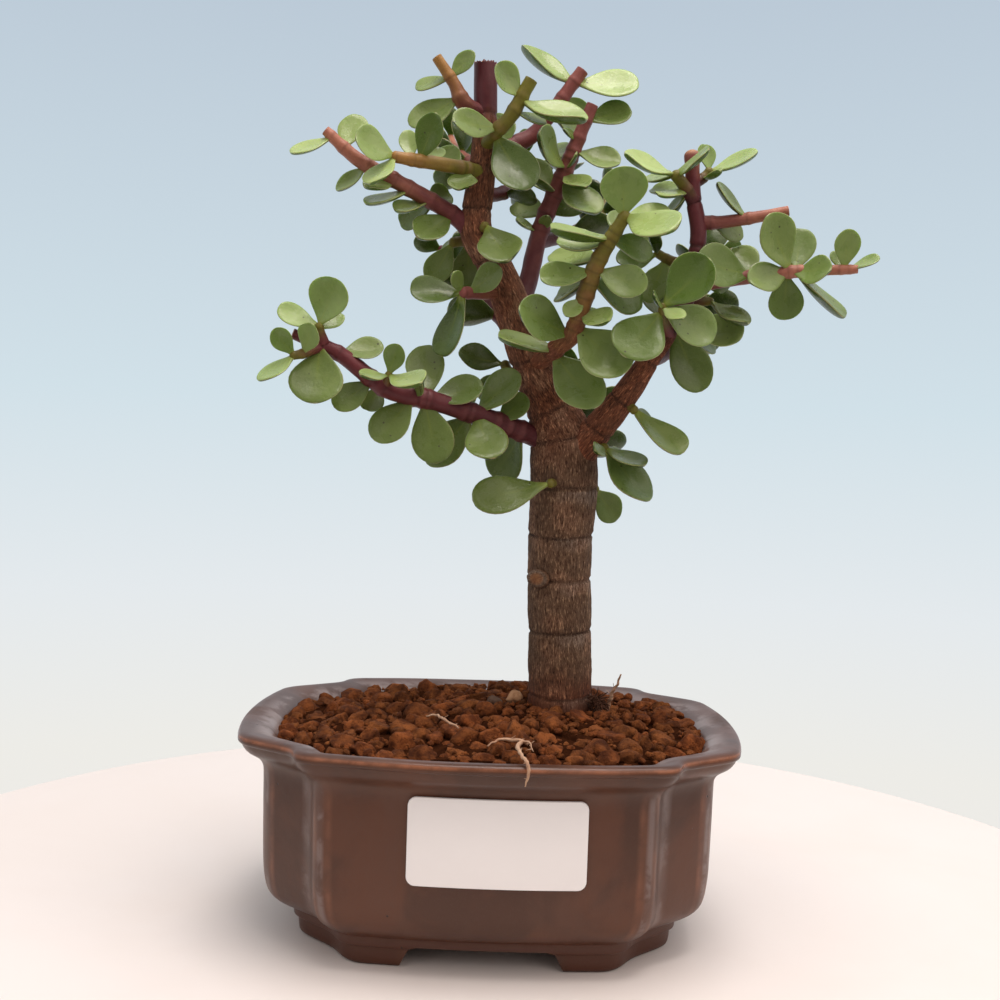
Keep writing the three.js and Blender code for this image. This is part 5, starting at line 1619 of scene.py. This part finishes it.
    def drain_cutter(self) -> Object:
        """Two round pegs where the pot drains."""
        bm = bmesh.new()
        for x in self.drain_places:
            place = Matrix.Translation((x, 0, self.foot_height + 3))
            bmesh.ops.create_cone(bm, cap_ends=True, segments=40, radius1=self.drain_radius,
                radius2=self.drain_radius, depth=16, matrix=place)
        bmesh.ops.recalc_face_normals(bm, faces=bm.faces)
        return add_object("drain_pegs", make_mesh(bm, "drain_pegs"))


@dataclass
class BlankTag:
    """The blank white label on the pot's front, with rounded corners, bent with the wall, in mm."""

    palette: Palette
    outline: Outline
    width: float = 50.0
    height: float = 25.0
    thick: float = 0.8
    corner: float = 2.5
    edge: float = 0.22
    bands: int = 24
    middle: Spot = (3.5, 40.5)
    low_wall: Spot = (9.4, 24.0)
    high_wall: Spot = (9.8, 53.5)
    gap: float = 0.4

    def build(self) -> None:
        """Builds the label where the solid one is."""
        bm = bmesh.new()
        bmesh.ops.create_cube(bm, size=1.0)
        bmesh.ops.scale(bm, vec=(self.width, self.thick, self.height), verts=bm.verts)
        corners = [edge for edge in bm.edges if abs(edge.verts[0].co.y - edge.verts[1].co.y) > 0.1]
        round_edges(bm, corners, self.corner, 8)
        rims = [edge for edge in bm.edges if all(vert.co.y < 0 for vert in edge.verts)]
        round_edges(bm, rims, self.edge, 3)
        for number in range(1, self.bands):
            x = (number / self.bands - 0.5) * self.width
            bmesh.ops.bisect_plane(bm, geom=bm.verts[:] + bm.edges[:] + bm.faces[:], plane_co=(x, 0, 0),
                plane_no=(1, 0, 0))
        bmesh.ops.translate(bm, vec=(self.middle[0], 0, self.middle[1]), verts=bm.verts)
        for vert in bm.verts:
            vert.co.y += self.wall(vert.co.x, vert.co.z) - self.gap - self.thick / 2
        crease(bm, SHARP)
        settle_piece(bm, "white_label", self.palette.label, "tag", "blank_tag")

    def wall(self, x: float, z: float) -> float:
        """How far front the pot's wall is."""
        (low_offset, low), (high_offset, high) = self.low_wall, self.high_wall
        share = (low_offset + (high_offset - low_offset) * (z - low) / (high - low)) / self.outline.flare
        plan = self.outline.feet.grown(self.outline.rim, share)
        corner_x, corner_y = plan.front_corner
        return -(corner_y + (plan.size[1] - corner_y) * (1 - (x / corner_x) ** 2))


@dataclass(frozen=True)
class GrainKind:
    """One size of clay grain: how many are thrown, their radii and lift in mm, and how finely they are cut.

    The reach is the offset of the pot's outline that they lie within, a little of each over it.
    """

    throws: int
    radii: Spot
    lift: Spot
    fineness: int
    apart: float
    reach: float


@dataclass
class Soil:
    """Baked clay grains heaped over the packed soil, with a pale chip and a grey pebble, in mm."""

    palette: Palette
    outline: Outline
    level: float = 59.6
    mound: float = 5.4
    mound_at: Spot = (12.0, 14.0)
    mound_spread: float = 2400.0
    stem_at: Spot = (22.5, 13.0)
    stem_radius: float = 10.9
    field: Spot = (74, 58)
    kinds: tuple[GrainKind, ...] = (
        GrainKind(1800, (3.1, 4.8), (-0.6, 1.2), 3, 0.86, 7.0),
        GrainKind(1700, (2.0, 3.0), (-0.6, 1.4), 2, 0.8, 7.0),
        GrainKind(1700, (1.0, 1.9), (-0.4, 1.6), 2, 0.66, 6.6),
        GrainKind(700, (0.45, 0.9), (0.8, 3.0), 1, 0.0, 2.0))
    seed: int = 7
    chip_at: Point = (7.2, 11.5, 67.6)
    chip_size: Point = (3.0, 2.4, 2.7)
    pebble_at: Point = (0.2, 9.5, 66.6)
    pebble_size: Point = (3.3, 2.8, 2.5)

    def build(self) -> None:
        """Builds the grains and dresses the packed soil under them in near-black painted shade, which shows
        in the gaps.
        """
        dress_node("soil", self.palette.deep_clay)
        chance = Random(self.seed)
        self.build_grains(chance)
        self.build_stone("pale_chip", self.chip_at, self.chip_size, self.palette.chip, chance)
        self.build_stone("grey_pebble", self.pebble_at, self.pebble_size, self.palette.pebble, chance)

    def surface(self, x: float, y: float) -> float:
        """The heap's height at a place."""
        away = (x - self.mound_at[0]) ** 2 + (y - self.mound_at[1]) ** 2
        return self.level + self.mound * exp(-away / self.mound_spread)

    def build_grains(self, chance: Random) -> None:
        """Throws each kind of grain on the heap, the big ones first, and keeps those that find room."""
        bm = bmesh.new()
        tint = bm.verts.layers.float_color.new("tint")
        thrown = [(*self.stem_at, self.stem_radius), (*self.chip_at[:2], 3.0), (*self.pebble_at[:2], 3.2)]
        for kind in self.kinds:
            for _ in range(kind.throws):
                x, y = (chance.uniform(-reach, reach) for reach in self.field)
                radius = chance.uniform(*kind.radii)
                near = thrown if kind.apart else thrown[:1]
                clear = all(hypot(x - left, y - back) > (radius + size) * kind.apart
                    for left, back, size in near)
                if clear and self.outline.holds(x, y, kind.reach - 0.7 * radius):
                    thrown.append((x, y, radius))
                    height = self.surface(x, y) + chance.uniform(*kind.lift)
                    self.add_grain(bm, tint, Vector((x, y, height)), radius, kind.fineness, chance)
        settle_piece(bm, "clay_grains", self.palette.clay, "grit")

    def add_grain(self, bm: BMesh, tint: BMLayerItem, centre: Vector, radius: float, fineness: int,
            chance: Random) -> None:
        """One chunky grain, a ball with flats struck off it and lumps left on it."""
        shade = chance.uniform(0.6, 1.2)
        red = chance.uniform(0.92, 1.12)
        flats = self.struck_flats(chance, 8, 0.48, 0.86)
        stretch = Vector((chance.uniform(0.85, 1.3), chance.uniform(0.85, 1.2), chance.uniform(0.72, 1.0)))
        turn = Matrix.Rotation(chance.uniform(0, 6.28), 3, "Z")
        for vert in bmesh.ops.create_icosphere(bm, subdivisions=fineness, radius=1.0)["verts"]:
            place = self.struck(vert.co, flats)
            rough = 0.2 * noise.noise(place * 1.7 + centre) + 0.13 * noise.noise(place * 4.1 + centre)
            vert.co = turn @ (place * (1 + rough) * stretch) * radius + centre
            vert[tint] = (shade * red, shade, shade * 0.95, 1.0)

    @staticmethod
    def struck_flats(chance: Random, count: int, near: float, far: float) -> list[tuple[Vector, float]]:
        """Where flats are struck off a ball of radius 1: the way each looks, and how far out it is."""
        return [(Vector((chance.gauss(0, 1), chance.gauss(0, 1), chance.gauss(0, 1))).normalized(),
            chance.uniform(near, far)) for _ in range(count)]

    @staticmethod
    def struck(place: Vector, flats: list[tuple[Vector, float]]) -> Vector:
        """A ball's point, moved in to the flats."""
        place = place.copy()
        for normal, depth in flats:
            place -= normal * max(0.0, place.dot(normal) - depth)
        return place

    def build_stone(self, name: str, centre: Point, size: Point, material: Material,
            chance: Random) -> None:
        """One angular stone among the grains."""
        flats = self.struck_flats(chance, 9, 0.5, 0.8)
        bm = bmesh.new()
        for vert in bmesh.ops.create_icosphere(bm, subdivisions=4, radius=1.0)["verts"]:
            place = self.struck(vert.co, flats)
            place *= 1 + 0.05 * noise.noise(place * 3)
            vert.co = place * Vector(size) + Vector(centre)
        settle_piece(bm, name, material, "grit")


@dataclass
class LooseRoots:
    """Dry roots that stick out of the soil, and the tuft of fine dark ones at the stem's foot, in mm.

    Each root has arms, which are a path and the radii at its points.
    """

    palette: Palette
    sides: int = 9
    step: float = 0.35
    hair_sides: int = 5
    hair_step: float = 0.6
    stout: float = 0.4
    hairs: int = 90
    tuft_at: Point = (33.4, 6.5, 67.8)
    seed: int = 5
    tuft_seed: int = 19
    front_root: tuple = ((((-0.3, -47.5, 66.2), (3.3, -43.6, 67), (8, -43.2, 67), (11.3, -44.4, 66.4)),
        (0.2, 0.42, 0.6, 0.5)), (((9.6, -43.6, 66.8), (8.2, -49, 66.6), (9.4, -57, 66.2),
        (10.9, -61.6, 65.2), (11.2, -62.8, 62.6), (10.4, -62.6, 59.4)), (0.6, 0.62, 0.5, 0.5, 0.42, 0.15)),
        (((9.8, -45, 66.9), (11.5, -47, 67.2), (12.6, -51, 66)), (0.4, 0.3, 0.12)))
    pale_root: tuple = ((((-19.6, -16, 67.0), (-16.2, -17.4, 67.6), (-13.1, -24.3, 67.4), (-9, -29, 66.6)),
        (0.2, 0.4, 0.42, 0.3)),)
    upright_root: tuple = ((((37, 10, 60), (38.5, 8, 69), (41.5, 4.5, 78)), (0.85, 0.7, 0.25)),)

    def build(self) -> None:
        """Builds every loose root."""
        noise.seed_set(self.seed)
        self.build_root("front_root", self.front_root, "dry_root_front")
        self.build_root("pale_root", self.pale_root)
        self.build_root("upright_root", self.upright_root, "dry_root_upright")
        self.build_tuft()

    def build_root(self, name: str, arms: tuple, *node: str) -> None:
        """One root of tapered, crooked arms, with a few hairs on it."""
        chance = Random(len(name))
        bm = bmesh.new()
        for path, radii in arms:
            self.add_arm(bm, path, radii, 0.22)
            line = FlowLine(path, radii, 8)
            for _ in range(5):
                start, heading, _ = line.along(chance.uniform(0.35, 0.95))
                side = unit(np.array([chance.gauss(0, 1), chance.gauss(0, 1), abs(chance.gauss(0, 0.6))]))
                reach = chance.uniform(1.2, 3.2)
                middle = start + (side * 0.6 + heading * 0.4) * reach * 0.5
                end = start + (side + heading * 0.6) * reach * 0.8
                self.add_arm(bm, (start, middle, end), (0.16, 0.13, 0.06), 0.05)
        settle_piece(bm, name, self.palette.root, "root", *node)

    def build_tuft(self) -> None:
        """Fine dark roots that spread from one place."""
        chance = Random(self.tuft_seed)
        bm = bmesh.new()
        for _ in range(self.hairs):
            foot = self.tuft_at + np.array([chance.gauss(0, 1.0), chance.gauss(0, 1.2),
                chance.uniform(-2.5, 2.5)])
            out = unit(np.array([chance.uniform(-0.4, 1.3), chance.gauss(-0.4, 0.6),
                chance.gauss(0.1, 0.5)]))
            reach = chance.uniform(2.5, 5.5)
            bend = np.array([chance.gauss(0, 0.5), chance.gauss(0, 0.5), chance.gauss(-0.2, 0.5)])
            middle = foot + out * reach * 0.5 + bend
            end = foot + out * reach + bend * 0.4 - np.array([0, 0, 0.9])
            thick = chance.uniform(0.16, 0.34)
            self.add_arm(bm, (foot, middle, end), (thick, thick * 0.9, thick * 0.35), 0.1)
        settle_piece(bm, "root_tuft", self.palette.root_hair, "root")

    def add_arm(self, bm: BMesh, path: Sequence[Sequence[float]], radii: Sequence[float],
            crook: float) -> None:
        """One closed root of round rings along a crooked line."""
        line = FlowLine(path, radii, 10)
        sides, step = (self.sides, self.step) if radii[0] > self.stout else (self.hair_sides, self.hair_step)
        runs = even_runs(line.length, step)
        frames = Frames(line, runs, (0.3, 0.2, 0.9))

        def settle(vert: BMVert, row: int, column: int) -> None:
            """Puts one point of the root where it belongs."""
            angle = 2 * pi * column / sides
            centre = Vector(frames.centres[row])
            stray = noise.noise_vector(centre * 0.55) * crook * 2
            radius = line.radius_at(runs[row]) * (1 + 0.28 * ring_noise(angle, 1, runs[row] * 0.9))
            vert.co = centre + stray + Vector(frames.out(row, angle) * radius)

        roll_grid(bm, sides, len(runs) - 1, settle)


@dataclass
class Studio:
    """The pale turntable floor, the soft lights, the pale backdrop and the camera, in metres and degrees.

    The lights are each a name, a place from the aim, a size, a power and a colour. The sky is the colour
    that the camera sees at each height of its gaze.
    """

    palette: Palette
    floor_radius: float = 0.235
    floor_thick: float = 0.012
    floor_at: Point = (0.004, 0.0, 0.0)
    aim: Point = (0, 0, 0.14)
    lights: tuple[tuple[str, Point, float, float, Colour], ...] = (
        ("key", (0.75, -0.65, 1.0), 1.8, 13.0, (1.0, 0.88, 0.83)),
        ("fill", (-0.9, -0.65, 0.55), 1.2, 3.0, (1.0, 0.92, 0.9)),
        ("top", (0.12, -0.16, 1.28), 0.7, 12.5, (1.0, 0.91, 0.87)))
    sky: tuple[tuple[float, Colour], ...] = ((-0.4, (0.87, 0.83, 0.79)), (-0.24, (0.85, 0.84, 0.8)),
        (-0.12, (0.78, 0.82, 0.845)), (0.04, (0.64, 0.75, 0.81)), (0.34, (0.5, 0.59, 0.68)))
    front_light: Colour = (0.3, 0.27, 0.26)
    back_light: Colour = (0.68, 0.72, 0.77)
    camera_at: Point = (4.3, -380.0, 149.4)
    yaw: float = -0.56
    pitch: float = 2.46
    roll: float = 1.9
    lens: float = 43.2

    def build(self) -> None:
        """Sets up everything round the object."""
        self.build_floor()
        for light in self.lights:
            self.add_light(*light)
        self.build_world()
        self.build_camera()
        bpy.context.scene.view_settings.view_transform = "Standard"
        bpy.context.scene.view_settings.look = "None"

    def build_floor(self) -> None:
        """A round pale board with a softened edge, its top just under the pot's feet."""
        bm = bmesh.new()
        place = Matrix.Translation((0, 0, -0.0001 - self.floor_thick / 2))
        bmesh.ops.create_cone(bm, cap_ends=True, segments=192, radius1=self.floor_radius,
            radius2=self.floor_radius, depth=self.floor_thick, matrix=place)
        rims = [edge for edge in bm.edges if abs(edge.verts[0].co.z - edge.verts[1].co.z) < 1e-5]
        round_edges(bm, rims, 0.0025, 4)
        bmesh.ops.translate(bm, vec=POT_CENTRE + Vector(self.floor_at), verts=bm.verts)
        crease(bm, 40)
        mesh = make_mesh(bm, "floor")
        mesh.shade_smooth()
        mesh.materials.append(self.palette.floor)
        add_object("floor", mesh)

    def add_light(self, name: str, place: Point, size: float, power: float, colour: Colour) -> None:
        """One soft square light that looks at the object."""
        light = bpy.data.lights.new(name, "AREA")
        light.size, light.energy, light.color = size, power, colour
        lamp = add_object(name, light)
        lamp.location = POT_CENTRE + Vector(self.aim) + Vector(place)
        lamp.rotation_euler = (-Vector(place)).to_track_quat("-Z", "Y").to_euler()

    def build_world(self) -> None:
        """A dim light in front and a pale one behind, in whose place the camera sees a soft gradient."""
        world = bpy.data.worlds.new("studio")
        world.use_nodes = True
        bpy.context.scene.world = world
        nodes = Nodes(world.node_tree)
        _, back, rise = nodes.split(nodes.add("TexCoord").outputs["Generated"])
        low, high = self.sky[0][0], self.sky[-1][0]
        ramp = nodes.add("ValToRGB", Fac=nodes.add("MapRange", Value=rise, _1=low, _2=high).outputs[0])
        stops = ramp.color_ramp.elements
        while len(stops) < len(self.sky):
            stops.new(0.5)
        for stop, (height, colour) in zip(stops, self.sky):
            stop.position = (height - low) / (high - low)
            stop.color = (*colour, 1.0)
        behind = nodes.fit(back, -0.35, 0.45)
        ambient = nodes.tree.nodes["Background"]
        nodes.feed("Background", Color=nodes.mix(behind, self.front_light, self.back_light))
        seen = nodes.add("Background", Color=ramp.outputs[0], Strength=1.0)
        camera_ray = nodes.add("LightPath").outputs["Is Camera Ray"]
        mixed = nodes.add("MixShader", _0=camera_ray, _1=ambient.outputs[0], _2=seen.outputs[0])
        nodes.feed("World Output", Surface=mixed.outputs[0])

    def build_camera(self) -> None:
        """The camera at the photograph's place and angle."""
        yaw, pitch, roll = (radians(angle) for angle in (self.yaw, self.pitch, self.roll))
        forward = Vector((sin(yaw) * cos(pitch), cos(yaw) * cos(pitch), -sin(pitch)))
        level = Vector((cos(yaw), -sin(yaw), 0.0))
        upright = level.cross(forward)
        right = level * cos(roll) + upright * sin(roll)
        up = upright * cos(roll) - level * sin(roll)
        data = bpy.data.cameras.new("camera")
        data.sensor_width, data.lens, data.clip_start = 36.0, self.lens, 0.01
        camera = add_object("camera", data)
        turn = Matrix((right, up, -forward)).transposed()
        camera.matrix_world = Matrix.Translation(POT_CENTRE + Vector(self.camera_at) * MM) @ turn.to_4x4()
        bpy.context.scene.camera = camera


def dress_node(node: str, material: Material) -> None:
    """Gives a CAD node that stays its finished material."""
    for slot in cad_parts[node].material_slots:
        slot.material = material


def main() -> None:
    """Builds the whole scene, piece by piece."""
    logging.basicConfig(level=logging.INFO, format="%(name)s %(message)s")
    palette = Palette()
    outline = Outline()
    Studio(palette).build()
    Pot(palette, outline).build()
    BlankTag(palette, outline).build()
    Soil(palette, outline).build()
    for node in ("drain_screen_left", "drain_screen_right"):
        dress_node(node, palette.net)
    LooseRoots(palette).build()
    Bole(palette).build()
    SprayMaker(palette).build(Canopy(SHOOTS).grow())


if __name__ == "__main__":
    main()
